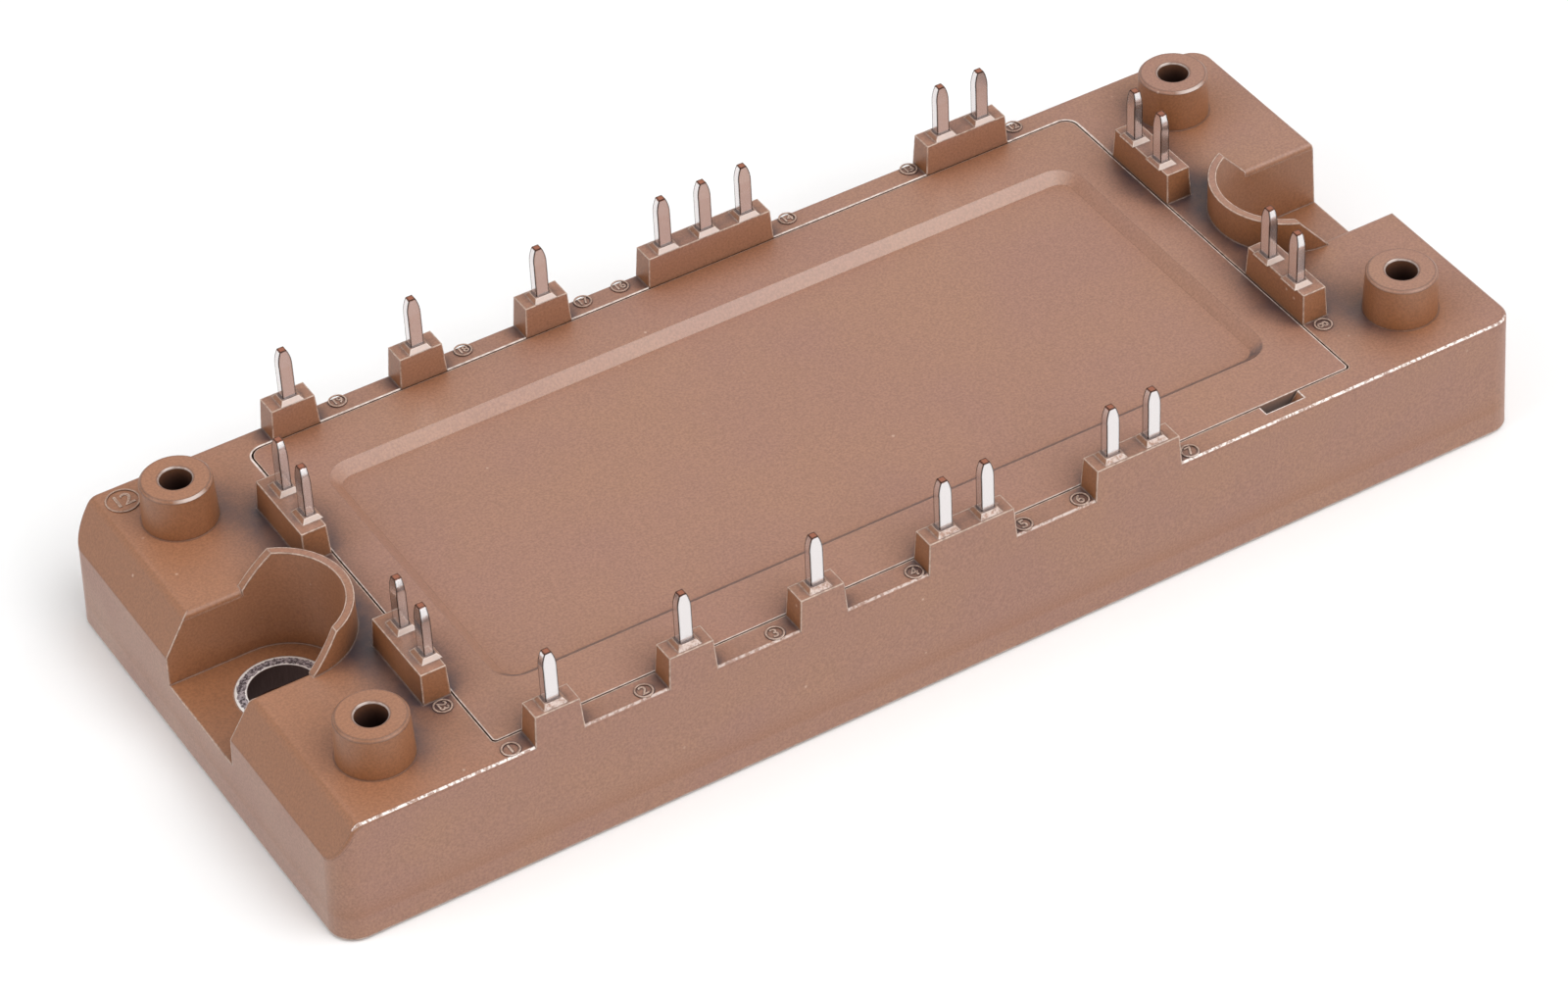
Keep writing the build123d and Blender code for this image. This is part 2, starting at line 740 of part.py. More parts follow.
def main():
    """Builds each piece and writes one file for each."""
    os.makedirs("parts", exist_ok=True)
    pins = terminals()
    left, right = substrate_spans()
    parts = circuit()
    wires = terminal_wires() + parts["wires"]
    solder_z = plate_top
    lower_copper_z = solder_z + solder_thickness
    ceramic_z = lower_copper_z + copper_thickness
    solder = [layer(span, copper_margin, solder_z, solder_thickness) for span in (left, right)]
    lower_copper = [layer(span, copper_margin, lower_copper_z, copper_thickness) for span in (left, right)]
    ceramics = [layer(span, 0, ceramic_z, ceramic_thickness) for span in (left, right)]
    left_tracks = tracks(left, "left", 4)
    right_tracks = tracks(right, "right", 3)
    pieces = {
        "housing": housing(pins),
        "lid": lid(),
        "base_plate": base_plate(),
        "bush_left": bush(-1),
        "bush_right": bush(1),
        "adhesive_seal": seal(),
        "substrate_solder": Compound(children=solder),
        "lower_copper": Compound(children=lower_copper),
        "ceramic_left": ceramics[0],
        "ceramic_right": ceramics[1],
        "copper_tracks_left": Compound(children=left_tracks),
        "copper_tracks_right": Compound(children=right_tracks),
        "igbt_chips": Compound(children=parts["igbt"]),
        "diode_chips": Compound(children=parts["diode"]),
        "rectifier_chips": Compound(children=parts["rectifier"]),
        "thermistor": thermistor(),
        "bond_wires": Compound(children=wires),
    }
    for number, pin in pins.items():
        pieces[f"terminal_{number:02d}"] = pin
    for name, shape in pieces.items():
        export_step(shape, f"parts/{name}.step")
        print(name, len(shape.solids()), round(shape.volume, 2))


main()
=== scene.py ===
import json
import logging
import math
from contextlib import contextmanager
from dataclasses import dataclass
from enum import Enum
from typing import Any, Iterator, TypeAlias

import bmesh
import bpy
from mathutils import Matrix, Vector


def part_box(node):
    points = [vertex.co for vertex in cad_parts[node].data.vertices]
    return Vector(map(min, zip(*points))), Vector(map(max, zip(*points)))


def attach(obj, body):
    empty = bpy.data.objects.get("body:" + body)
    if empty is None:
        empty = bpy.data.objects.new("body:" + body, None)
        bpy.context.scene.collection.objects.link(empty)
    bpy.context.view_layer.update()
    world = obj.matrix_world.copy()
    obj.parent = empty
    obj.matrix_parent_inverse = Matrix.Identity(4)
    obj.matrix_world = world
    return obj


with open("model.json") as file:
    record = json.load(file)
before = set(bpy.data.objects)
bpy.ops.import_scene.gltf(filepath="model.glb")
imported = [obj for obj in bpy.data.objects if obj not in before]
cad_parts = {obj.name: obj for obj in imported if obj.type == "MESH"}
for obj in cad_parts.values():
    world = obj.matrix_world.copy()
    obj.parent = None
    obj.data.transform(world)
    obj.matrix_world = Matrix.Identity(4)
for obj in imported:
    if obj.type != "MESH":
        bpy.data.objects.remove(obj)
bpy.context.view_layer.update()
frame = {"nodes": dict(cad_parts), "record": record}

# Looks of a power module in a moulded frame housing, in metres: the finish of each piece, the
# numbers moulded beside the terminals, and the plain studio that it stands in. The frame is
# loaded first, and its size is taken before anything is added to it.

Tree: TypeAlias = bpy.types.NodeTree
Socket: TypeAlias = bpy.types.NodeSocket
Source: TypeAlias = Socket | float | str  # an output socket, a number or a hex colour
Pair: TypeAlias = tuple[float, float]
Triple: TypeAlias = tuple[float, float, float]

MM = 0.001
EVEN: Triple = (1.0, 1.0, 1.0)  # a pattern that is equally fine along all axes
NOISE_CORE: Pair = (0.35, 0.65)  # most of a noise's values lie between these
NOISE_WIDE: Pair = (0.3, 0.7)  # and nearly all of them between these
NOISE_ROUGHNESS = 0.6  # how strong the finer octaves of a noise are
LEVEL_Z: Pair = (0.9, 0.97)  # Z of a face's normal, from a slight slope to a level face
WALL_Z: Pair = (0.5, 0.8)  # Z of a face's normal, from a wall to a slight slope
DIGIT_SHARE = 0.7  # height of a digit in Blender's own typeface, as a share of its size
LOG = logging.getLogger("power_module")


class Sum(Enum):
    """The sums that the patterns are worked out with, by the names that Blender gives them."""

    TIMES = "MULTIPLY"
    PLUS = "ADD"
    MINUS = "SUBTRACT"
    MOST = "MAXIMUM"
    LEAST = "MINIMUM"
    SIZE = "ABSOLUTE"


def linear(colour: str) -> tuple[float, float, float, float]:
    """Turns an sRGB hex colour into the linear colour that shaders take.

    Args:
        colour: The colour as "#RRGGBB".

    Returns:
        Linear red, green and blue, and a full alpha.
    """
    channels = [int(colour[index : index + 2], 16) / 255 for index in (1, 3, 5)]
    curve = [c / 12.92 if c <= 0.04045 else ((c + 0.055) / 1.055) ** 2.4 for c in channels]
    return (*curve, 1.0)


def add_node(
    tree: Tree, kind: str, sources: dict[str | int, Any] | None = None, **settings: Any
) -> bpy.types.Node:
    """Adds one node to a tree.

    Args:
        tree: The tree that gets the node.
        kind: The node's type name.
        sources: Input, by name or index, to what it gets: an output socket is linked, a hex
            colour is made linear, and any other value is set as it is.
        **settings: The node's own properties.

    Returns:
        The new node.
    """
    node = tree.nodes.new(kind)
    for name, value in settings.items():
        setattr(node, name, value)
    for name, source in (sources or {}).items():
        if isinstance(source, bpy.types.NodeSocket):
            tree.links.new(source, node.inputs[name])
        else:
            node.inputs[name].default_value = linear(source) if isinstance(source, str) else source
    return node


def joined(tree: Tree, kind: Sum, first: Source, *others: Source) -> Socket:
    """Joins values by one sum, from left to right.

    Args:
        tree: The tree that gets the nodes.
        kind: The sum.
        first: The first value, an output socket or a number.
        *others: The values that follow it; 0 stands in where there are none.

    Returns:
        The result.
    """
    result = first
    for other in others or (0.0,):
        sources = {0: result, 1: other}
        result = add_node(tree, "ShaderNodeMath", sources, operation=kind.value).outputs["Value"]
    return result


def layered(tree: Tree, base: Source, *layers: tuple[Source, Source]) -> Socket:
    """Lays colours over one another.

    Args:
        tree: The tree that gets the nodes.
        base: The lowest colour, an output socket or a hex colour.
        *layers: The share and the colour of each layer, from the lowest up.

    Returns:
        The colour that is seen.
    """
    result = base
    for share, colour in layers:
        sources = {0: share, 6: result, 7: colour}
        result = add_node(tree, "ShaderNodeMix", sources, data_type="RGBA").outputs[2]
    return result


@dataclass(frozen=True)
class Finish:
    """A surface finish: one principled shader with a pattern of its own.

    The pattern reads object coordinates in millimetres, so its sizes are real ones.
    """

    name: str
    colour: str
    roughness: float
    metallic: float = 0.0
    ior: float = 1.5
    rounding: float = 0.1  # mm, how soft the edges look
    rounding_samples: int = 6
    edge_samples: int = 8
    sky_samples: int = 8
    sheen_range: Pair = (-0.05, 0.05)  # how far the pattern takes the roughness down and up

    def material(self) -> bpy.types.Material:
        """Makes the finish's material.

        Returns:
            The material, with its pattern linked in.
        """
        material = bpy.data.materials.new(self.name)
        material.use_nodes = True
        tree = material.node_tree
        shader = tree.nodes["Principled BSDF"]
        shader.inputs["Base Color"].default_value = linear(self.colour)
        shader.inputs["Roughness"].default_value = self.roughness
        shader.inputs["Metallic"].default_value = self.metallic
        shader.inputs["IOR"].default_value = self.ior
        for name, source in self.pattern(tree).items():
            tree.links.new(source, shader.inputs[name])
        return material

    def pattern(self, tree: Tree) -> dict[str, Socket]:
        """What the shader's inputs get, by their names; each finish adds its own."""
        return {"Normal": self.rounded(tree)}

    def millimetres(self, tree: Tree, stretch: Triple = EVEN) -> Socket:
        """Object coordinates in millimetres.

        Args:
            tree: The material's tree.
            stretch: How much finer the pattern is along each axis.

        Returns:
            The vector to read.
        """
        place = add_node(tree, "ShaderNodeTexCoord").outputs["Object"]
        sources = {"Vector": place, "Scale": tuple(share / MM for share in stretch)}
        return add_node(tree, "ShaderNodeMapping", sources).outputs["Vector"]

    def place(self, tree: Tree) -> Any:
        """Object coordinates in millimetres, as three outputs by the names X, Y and Z."""
        return add_node(tree, "ShaderNodeSeparateXYZ", {0: self.millimetres(tree)}).outputs

    def facing(self, tree: Tree) -> Any:
        """The face's own normal, as three outputs by the names X, Y and Z."""
        normal = add_node(tree, "ShaderNodeNewGeometry").outputs["Normal"]
        return add_node(tree, "ShaderNodeSeparateXYZ", {0: normal}).outputs

    def grain(self, tree: Tree, size: float, detail: float = 2.0, stretch: Triple = EVEN) -> Socket:
        """Even noise from 0 to 1.

        Args:
            tree: The material's tree.
            size: Size of the noise's blotches in millimetres.
            detail: Octaves of finer noise on top.
            stretch: How much finer the pattern is along each axis.

        Returns:
            The noise's value.
        """
        sources = {"Scale": 1 / size, "Detail": detail, "Roughness": NOISE_ROUGHNESS}
        sources["Vector"] = self.millimetres(tree, stretch)
        return add_node(tree, "ShaderNodeTexNoise", sources).outputs["Fac"]

    def span(self, tree: Tree, source: Socket, low: Pair, high: Pair) -> Socket:
        """Maps a value from one range to another, clamped.

        Args:
            tree: The material's tree.
            source: The value to map.
            low: Source value and result at the low end.
            high: Source value and result at the high end.

        Returns:
            The mapped value.
        """
        ends = {"From Min": low[0], "From Max": high[0], "To Min": low[1], "To Max": high[1]}
        return add_node(tree, "ShaderNodeMapRange", {"Value": source, **ends}).outputs["Result"]

    def rise(self, tree: Tree, source: Socket, start: float, end: float, top: float = 1.0) -> Socket:
        """0 up to where the source is at its start, and the top from its end on."""
        return self.span(tree, source, (start, 0.0), (end, top))

    def fall(self, tree: Tree, source: Socket, start: float, end: float, top: float = 1.0) -> Socket:
        """The top up to where the source is at its start, and 0 from its end on."""
        return self.span(tree, source, (start, top), (end, 0.0))

    def varied(self, tree: Tree, noise: Socket, least: float, most: float) -> Socket:
        """Maps a noise's wide range to values from the least to the most."""
        return self.span(tree, noise, (NOISE_WIDE[0], least), (NOISE_WIDE[1], most))

    def sheen(self, tree: Tree, noise: Socket, ends: Pair = NOISE_WIDE) -> Socket:
        """Roughness that follows a noise.

        Args:
            tree: The material's tree.
            noise: The noise.
            ends: The noise's values where the surface is smoothest and roughest.

        Returns:
            The roughness.
        """
        smoothest, roughest = (self.roughness + change for change in self.sheen_range)
        return self.span(tree, noise, (ends[0], smoothest), (ends[1], roughest))

    def averaged(self, tree: Tree, reach: float, samples: int) -> Socket:
        """The normal averaged over a reach in millimetres."""
        sources = {"Radius": reach * MM}
        return add_node(tree, "ShaderNodeBevel", sources, samples=samples).outputs["Normal"]

    def rounded(self, tree: Tree) -> Socket:
        """Normals that turn smoothly over the edges."""
        return self.averaged(tree, self.rounding, self.rounding_samples)

    def bumps(self, tree: Tree, height: Socket, depth: float) -> Socket:
        """Adds small bumps to the rounded normals.

        Args:
            tree: The material's tree.
            height: The bumps' height from 0 to 1.
            depth: Their real depth in millimetres.

        Returns:
            The bumpy normal.
        """
        sources = {"Height": height, "Normal": self.rounded(tree), "Strength": 1.0, "Distance": depth * MM}
        return add_node(tree, "ShaderNodeBump", sources).outputs["Normal"]

    def edge_nearness(self, tree: Tree, reach: float) -> Socket:
        """How well the normal averaged over a reach agrees with the face's own.

        Args:
            tree: The material's tree.
            reach: How far from an edge it is felt, in millimetres.

        Returns:
            1 on an open face, falling to about 0.7 on the edge itself.
        """
        own = add_node(tree, "ShaderNodeNewGeometry").outputs["Normal"]
        sources = {0: self.averaged(tree, reach, self.edge_samples), 1: own}
        return add_node(tree, "ShaderNodeVectorMath", sources, operation="DOT_PRODUCT").outputs["Value"]

    def openness(self, tree: Tree, reach: float) -> Socket:
        """How much open sky a point has round it.

        Args:
            tree: The material's tree.
            reach: How far away a wall still counts, in millimetres.

        Returns:
            1 in the open, 0.5 at the foot of a wall, 0 in a narrow gap.
        """
        sources = {"Distance": reach * MM}
        return add_node(tree, "ShaderNodeAmbientOcclusion", sources, samples=self.sky_samples).outputs["AO"]

    def from_middle(self, tree: Tree, axis: str) -> Socket:
        """Distance from the object's middle along one axis, in millimetres."""
        return joined(tree, Sum.SIZE, self.place(tree)[axis])

    def plan_length(self, tree: Tree, along: Socket, across: Socket) -> Socket:
        """Length of a line in plan, from its reach along X and along Y."""
        plan = add_node(tree, "ShaderNodeCombineXYZ", {"X": along, "Y": across}).outputs["Vector"]
        return add_node(tree, "ShaderNodeVectorMath", {0: plan}, operation="LENGTH").outputs["Value"]

    def plan_distance(self, tree: Tree, x: float, y: float) -> Socket:
        """Distance in plan from the nearest of four mirrored points.

        Args:
            tree: The material's tree.
            x: The points' distance from the middle along X, in millimetres.
            y: The same along Y.

        Returns:
            The distance in millimetres.
        """
        along = joined(tree, Sum.MINUS, self.from_middle(tree, "X"), x)
        across = joined(tree, Sum.MINUS, self.from_middle(tree, "Y"), y)
        return self.plan_length(tree, along, across)

    def beyond(self, tree: Tree, middle: Pair, half: Pair) -> list[Socket]:
        """How far the surface lies beyond a rectangle's sides in plan.

        Args:
            tree: The material's tree.
            middle: The rectangle's middle in millimetres.
            half: Half its size.

        Returns:
            The distances along X and along Y, below 0 between the sides.
        """
        place = self.place(tree)
        distances = []
        for axis, centre, reach in zip("XY", middle, half):
            away = joined(tree, Sum.SIZE, joined(tree, Sum.MINUS, place[axis], centre))
            distances.append(joined(tree, Sum.MINUS, away, reach))
        return distances


@dataclass(frozen=True)
class MouldedPolyester(Finish):
    """Glass-filled polyester, injection moulded in a spark-eroded tool.

    It gives the eye a warm brown, faintly mottled and speckled by the glass, with a few pale
    flecks. Over it are painted light and shade: a pinkish painted reflection on the open faces,
    painted light on the tops of the low X end, warmer painted shade on walls among others, painted
    highlights with a dark painted shade line along its edges, bluish painted shade on level faces
    at the foot of what stands there, and dark painted shade in gaps. Lengths are in millimetres.
    """

    # painted reflection: the pinkish veil of the pale studio on open faces
    haze_colour: str = "#9F755F"
    # painted reflection: a pinker veil, mixed in by the mottling
    pink_colour: str = "#9C7362"
    # painted shade: a warmer brown on walls that stand among others
    inner_colour: str = "#8A5835"
    # painted light: a lighter brown on the level tops of the low X end
    bare_colour: str = "#9F6D4F"
    # painted shade: near black in narrow gaps and holes
    cavity_colour: str = "#2A1A14"
    # the pale flecks' own colour, and painted highlight along the edges
    edge_colour: str = "#E8CDBB"
    # painted highlight: the whitest lines and the pale slopes
    scraped_colour: str = "#F8EDE6"
    # painted shade: a dark line just beside the edges' painted highlight
    border_colour: str = "#4A2C20"
    # painted shade: bluish shade on level faces at the foot of what stands there
    grime_colour: str = "#352B34"
    sheen_range: Pair = (-0.03, 0.05)
    cloud_size: float = 8.0
    speck_size: float = 0.2  # coarser than the fibres' 0.01, which is too fine to show
    speck_range: Pair = (0.86, 1.14)  # how much darker and brighter the specks are
    fleck_spacing: float = 2.6
    fleck_radius: Pair = (0.03, 0.06)  # of the spacing, where a fleck starts to fade and ends
    fleck_chance: Pair = (0.5, 0.9)  # chance up to which a fleck is left out, and from which it is whole
    fleck_strength: float = 0.4
    haze_reach: float = 4.5
    haze_sky: Pair = (0.62, 0.97)  # open sky where the painted reflection starts, and where it is full
    gap_sky: Pair = (0.15, 0.6)  # open sky up to which the gaps' painted shade is darkest, and where that ends
    gap_share: float = 0.9
    inner_sky: Pair = (0.6, 0.9)  # open sky up to which the warm painted shade is full, and where that ends
    inner_left: Pair = (-0.7, 1.0)  # X of the normal, and the warm painted shade's share there
    inner_right: Pair = (-0.2, 0.1)
    foot_z: Pair = (2.0, 5.0)  # height up to which the floor's shade is left out, and where that ends
    bare_end: float = -200.0  # tops are free of the painted reflection from about here towards low X
    bare_fade: float = 14.0
    bare_share: float = 0.9
    bare_slope: Pair = (0.15, 0.4)  # Z of the normal, from the steepest slope that is free of the painted reflection
    bare_below: Pair = (1.0, 0.5)  # below the deck, where the painted light on tops starts and is full
    wander: float = 3.0  # how far the limit of the painted reflection wanders
    wander_size: float = 6.0
    edge_reach: float = 0.24
    edge_start: float = 0.99  # agreement of the normals where the painted highlight line starts
    edge_fade: float = 0.05
    edge_strength: float = 0.75
    break_size: float = 0.45  # length of the breaks in the lines along the edges
    break_low: Pair = (0.3, 0.4)  # noise, and what is left of the lines there
    break_high: Pair = (0.6, 1.0)
    corner_reach: float = 0.3
    corner_low: Pair = (0.7, 0.15)  # open sky, and what is left of the painted highlight lines there
    corner_high: Pair = (0.95, 1.0)
    border_start: float = 0.9995  # agreement where the dark painted shade line starts
    border_fade: float = 0.006
    border_strength: float = 0.5
    grime_reach: float = 5.5
    grime_strength: float = 0.95
    grime_sky: Pair = (0.66, 0.88)  # open sky up to which the painted shade is full, and where it ends
    grime_below: Pair = (0.3, 0.1)  # below the deck, where the painted shade starts and is full
    grime_size: float = 2.5
    grime_low: Pair = (0.3, 0.7)  # noise, and what is left of the painted shade there
    grime_high: Pair = (0.65, 1.0)
    deck_z: float = 11.15  # the lowest surface that holds the painted shade
    groove_middle: Pair = (0.0, 0.0)  # the middle of the lid's outline, and half its size
    groove_half: Pair = (44.0, 20.0)
    groove_line: Pair = (-0.02, 0.08)  # from the outline, where its painted highlight line lies
    groove_soft: float = 0.03
    groove_above: Pair = (0.02, 0.06)  # above the deck, where the line starts to fade and ends
    groove_turn: Pair = (12.0, 18.0)  # along Y, where the front's strength ends and the back's starts
    groove_front: float = 0.5
    groove_back: float = 1.0
    outline_front: Pair = (-5.0, 0.35)  # along Y, and the outline's corner radius in front of it
    outline_back: Pair = (5.0, 1.1)  # along Y, and the radius behind it
    bump_depth: float = 0.006

    def pattern(self, tree: Tree) -> dict[str, Socket]:
        """Mottles and speckles the surface, and paints light and shade on it and along its edges.

        Args:
            tree: The material's tree.

        Returns:
            What the shader's inputs get, by their names.
        """
        clouds = self.rise(tree, self.grain(tree, self.cloud_size), *NOISE_CORE)
        foot = self.fall(tree, self.place(tree)["Z"], *self.foot_z)
        sky = joined(tree, Sum.MOST, self.openness(tree, self.haze_reach), foot)
        speckle = self.grain(tree, self.speck_size, detail=1.0)
        specks = self.varied(tree, speckle, *self.speck_range)
        sources = {0: 1.0, 6: self.clean(tree, clouds, sky), 7: specks}
        colour = add_node(tree, "ShaderNodeMix", sources, data_type="RGBA", blend_type="MULTIPLY").outputs[2]
        # pale flecks, then bluish painted shade at the foot of walls, then dark painted shade in gaps
        colour = layered(
            tree, colour,
            (self.flecks(tree), self.edge_colour),
            (self.grime(tree), self.grime_colour),
            (self.fall(tree, sky, *self.gap_sky, self.gap_share), self.cavity_colour),
        )
        return {
            "Base Color": self.edged(tree, colour),
            "Roughness": self.sheen(tree, clouds, (0.0, 1.0)),
            "Normal": self.bumps(tree, speckle, self.bump_depth),
        }

    def clean(self, tree: Tree, clouds: Socket, sky: Socket) -> Socket:
        """Colour of the moulding under its painted reflection, with painted shade and painted light.

        Args:
            tree: The material's tree.
            clouds: The mottling from 0 to 1.
            sky: The open sky round the point.

        Returns:
            The colour.
        """
        high = self.rise(tree, self.place(tree)["Z"], *(self.deck_z - drop for drop in self.bare_below))
        bare = joined(tree, Sum.TIMES, self.bareness(tree), high, self.flat(tree))
        # painted reflection of the pale studio, mottled
        reflection = layered(tree, self.haze_colour, (clouds, self.pink_colour))
        return layered(
            tree, self.colour,
            (self.inner(tree, sky), self.inner_colour),
            (bare, self.bare_colour),
            (self.hazed(tree, sky), reflection),
        )

    def edged(self, tree: Tree, colour: Socket) -> Socket:
        """Draws the painted shade lines and the painted highlights over a colour.

        Args:
            tree: The material's tree.
            colour: The colour under them.

        Returns:
            The colour with its lines.
        """
        near = self.edge_nearness(tree, self.edge_reach)
        border_end = self.border_start - self.border_fade
        border = self.rise(tree, near, self.border_start, border_end, self.border_strength)
        breaks = self.span(tree, self.grain(tree, self.break_size), self.break_low, self.break_high)
        return layered(
            tree, colour,
            (border, self.border_colour),
            (self.rubbed(tree, near, breaks), self.edge_colour),
            (self.scraped(tree, breaks), self.scraped_colour),
        )

    def flat(self, tree: Tree) -> Socket:
        """1 on level faces that look up, and 0 on all others."""
        return self.rise(tree, self.facing(tree)["Z"], *LEVEL_Z)

    def upright(self, tree: Tree) -> Socket:
        """1 on walls, and 0 on faces that look up."""
        return self.fall(tree, self.facing(tree)["Z"], *WALL_Z)

    def inner(self, tree: Tree, sky: Socket) -> Socket:
        """Share of the warm painted shade on walls that have others near them.

        Args:
            tree: The material's tree.
            sky: The open sky round the point.

        Returns:
            The share, most on walls that look towards low X.
        """
        side = self.span(tree, self.facing(tree)["X"], self.inner_left, self.inner_right)
        closed = self.fall(tree, sky, *self.inner_sky)
        return joined(tree, Sum.TIMES, closed, self.upright(tree), side)

    def bareness(self, tree: Tree) -> Socket:
        """How far the surface is free of the painted reflection: the tops and slopes of the low X end.

        Args:
            tree: The material's tree.

        Returns:
            The share, with a ragged limit across the moulding.
        """
        ragged = self.varied(tree, self.grain(tree, self.wander_size), -self.wander, self.wander)
        along = joined(tree, Sum.PLUS, self.place(tree)["X"], ragged)
        bare = self.fall(tree, along, self.bare_end, self.bare_end + self.bare_fade, self.bare_share)
        return joined(tree, Sum.TIMES, bare, self.rise(tree, self.facing(tree)["Z"], *self.bare_slope))

    def hazed(self, tree: Tree, sky: Socket) -> Socket:
        """Share of the painted reflection: on open faces, but not on the tops of the low X end.

        Args:
            tree: The material's tree.
            sky: The open sky round the point.

        Returns:
            The share.
        """
        kept = joined(tree, Sum.MINUS, 1.0, self.bareness(tree))
        return joined(tree, Sum.TIMES, self.rise(tree, sky, *self.haze_sky), kept)

    def flecks(self, tree: Tree) -> Socket:
        """Share of a few tiny pale flecks, where glass fibres show at the surface.

        Args:
            tree: The material's tree.

        Returns:
            The share.
        """
        sources = {"Vector": self.millimetres(tree), "Scale": 1 / self.fleck_spacing, "Randomness": 1.0}
        cells = add_node(tree, "ShaderNodeTexVoronoi", sources).outputs
        dots = self.fall(tree, cells["Distance"], *self.fleck_radius, self.fleck_strength)
        chance = add_node(tree, "ShaderNodeSeparateColor", {0: cells["Color"]}).outputs["Red"]
        return joined(tree, Sum.TIMES, dots, self.rise(tree, chance, *self.fleck_chance))

    def grime(self, tree: Tree) -> Socket:
        """Share of the painted shade: on level faces at deck height or above, at the foot of a wall.

        Args:
            tree: The material's tree.

        Returns:
            The share.
        """
        sky = self.openness(tree, self.grime_reach)
        foot = self.fall(tree, sky, *self.grime_sky, self.grime_strength)
        high = self.rise(tree, self.place(tree)["Z"], *(self.deck_z - drop for drop in self.grime_below))
        uneven = self.span(tree, self.grain(tree, self.grime_size), self.grime_low, self.grime_high)
        return joined(tree, Sum.TIMES, foot, high, self.flat(tree), uneven)

    def rubbed(self, tree: Tree, near: Socket, breaks: Socket) -> Socket:
        """Share of the painted highlight along the outer edges.

        Args:
            tree: The material's tree.
            near: The nearness of an edge.
            breaks: Noise that breaks the lines up.

        Returns:
            The share, little of it in inner corners.
        """
        edge_end = self.edge_start - self.edge_fade
        edge = self.rise(tree, near, self.edge_start, edge_end, self.edge_strength)
        sky = self.openness(tree, self.corner_reach)
        outer = self.span(tree, sky, self.corner_low, self.corner_high)
        return joined(tree, Sum.TIMES, edge, breaks, outer)

    def scraped(self, tree: Tree, breaks: Socket) -> Socket:
        """Share of the whitest painted highlight; here the line along the groove."""
        return joined(tree, Sum.TIMES, self.groove(tree), breaks)

    def outline_distance(self, tree: Tree) -> Socket:
        """Distance in plan from the lid's outline, a rectangle with rounder corners at the back.

        Args:
            tree: The material's tree.

        Returns:
            The distance in millimetres, below 0 inside the outline.
        """
        radius = self.span(tree, self.place(tree)["Y"], self.outline_front, self.outline_back)
        sides = self.beyond(tree, self.groove_middle, self.groove_half)
        grown = [joined(tree, Sum.PLUS, side, radius) for side in sides]
        outer = [joined(tree, Sum.MOST, side, 0.0) for side in grown]
        inner = joined(tree, Sum.LEAST, joined(tree, Sum.MOST, *grown), 0.0)
        from_corner = joined(tree, Sum.PLUS, self.plan_length(tree, *outer), inner)
        return joined(tree, Sum.MINUS, from_corner, radius)

    def groove(self, tree: Tree) -> Socket:
        """Share of the painted highlight line along the groove round the lid.

        Args:
            tree: The material's tree.

        Returns:
            The share.
        """
        distance = self.outline_distance(tree)
        start, end = self.groove_line
        after = self.rise(tree, distance, start - self.groove_soft, start + self.groove_soft)
        before = self.fall(tree, distance, end - self.groove_soft, end + self.groove_soft)
        place = self.place(tree)
        low = self.fall(tree, place["Z"], *(self.deck_z + height for height in self.groove_above))
        front_end, back_start = self.groove_turn
        front, back = (front_end, self.groove_front), (back_start, self.groove_back)
        strength = self.span(tree, place["Y"], front, back)
        return joined(tree, Sum.TIMES, after, before, low, self.flat(tree), strength)


@dataclass(frozen=True)
class DishedLid(MouldedPolyester):
    """The lid's polyester, with the two long slopes of its dish.

    It gives the eye a thin dark painted shade line along the dish's front edge, a pale painted
    highlight on its back slope, and a strip in front of the back row with little painted shade.
    """

    slope_strength: float = 0.75
    slope_reach: float = 0.2  # mm, over which the slopes' normals are averaged
    front_lean: Pair = (0.15, 0.45)  # lean where the front slope's painted shade line starts and is full
    back_lean: Pair = (-0.45, -0.2)  # lean up to which the back slope's painted highlight is full, and its end
    line_size: float = 0.5  # mm, size of the breaks in the front slope's line
    line_low: Pair = (0.35, 0.5)  # noise, and what is left of that line there
    line_high: Pair = (0.6, 1.0)
    sheen_left: Pair = (-20.0, 0.05)  # mm along X, and how strong the back slope's painted highlight is there
    sheen_right: Pair = (5.0, 0.11)
    clean_start: float = 11.0  # mm along Y, where the strip before the back row with little painted shade starts
    clean_end: float = 15.0
    clean_grime: float = 0.12  # what is left of the painted shade in that strip

    def lean(self, tree: Tree) -> Socket:
        """How far the surface looks along Y: above 0 on the front slope, below 0 on the back."""
        normal = self.averaged(tree, self.slope_reach, self.edge_samples)
        return add_node(tree, "ShaderNodeSeparateXYZ", {0: normal}).outputs["Y"]

    def grime(self, tree: Tree) -> Socket:
        """Share of the painted shade, with the line in the dish's front slope added to it.

        Args:
            tree: The material's tree.

        Returns:
            The share.
        """
        slope = self.rise(tree, self.lean(tree), *self.front_lean, self.slope_strength)
        noise = self.grain(tree, self.line_size, detail=3.0)
        uneven = self.span(tree, noise, self.line_low, self.line_high)
        across = self.place(tree)["Y"]
        strip_shade_share = self.span(tree, across, (self.clean_start, 1.0), (self.clean_end, self.clean_grime))
        shade_near_walls = joined(tree, Sum.TIMES, super().grime(tree), strip_shade_share)
        return joined(tree, Sum.MOST, shade_near_walls, joined(tree, Sum.TIMES, slope, uneven))

    def scraped(self, tree: Tree, breaks: Socket) -> Socket:
        """Share of the whitest colour, with the back slope's painted highlight added to it.

        Args:
            tree: The material's tree.
            breaks: Noise that breaks the lines up.

        Returns:
            The share.
        """
        slope = self.fall(tree, self.lean(tree), *self.back_lean)
        along = self.span(tree, self.place(tree)["X"], self.sheen_left, self.sheen_right)
        sheen = joined(tree, Sum.TIMES, slope, along)
        return joined(tree, Sum.MOST, super().scraped(tree, breaks), sheen)


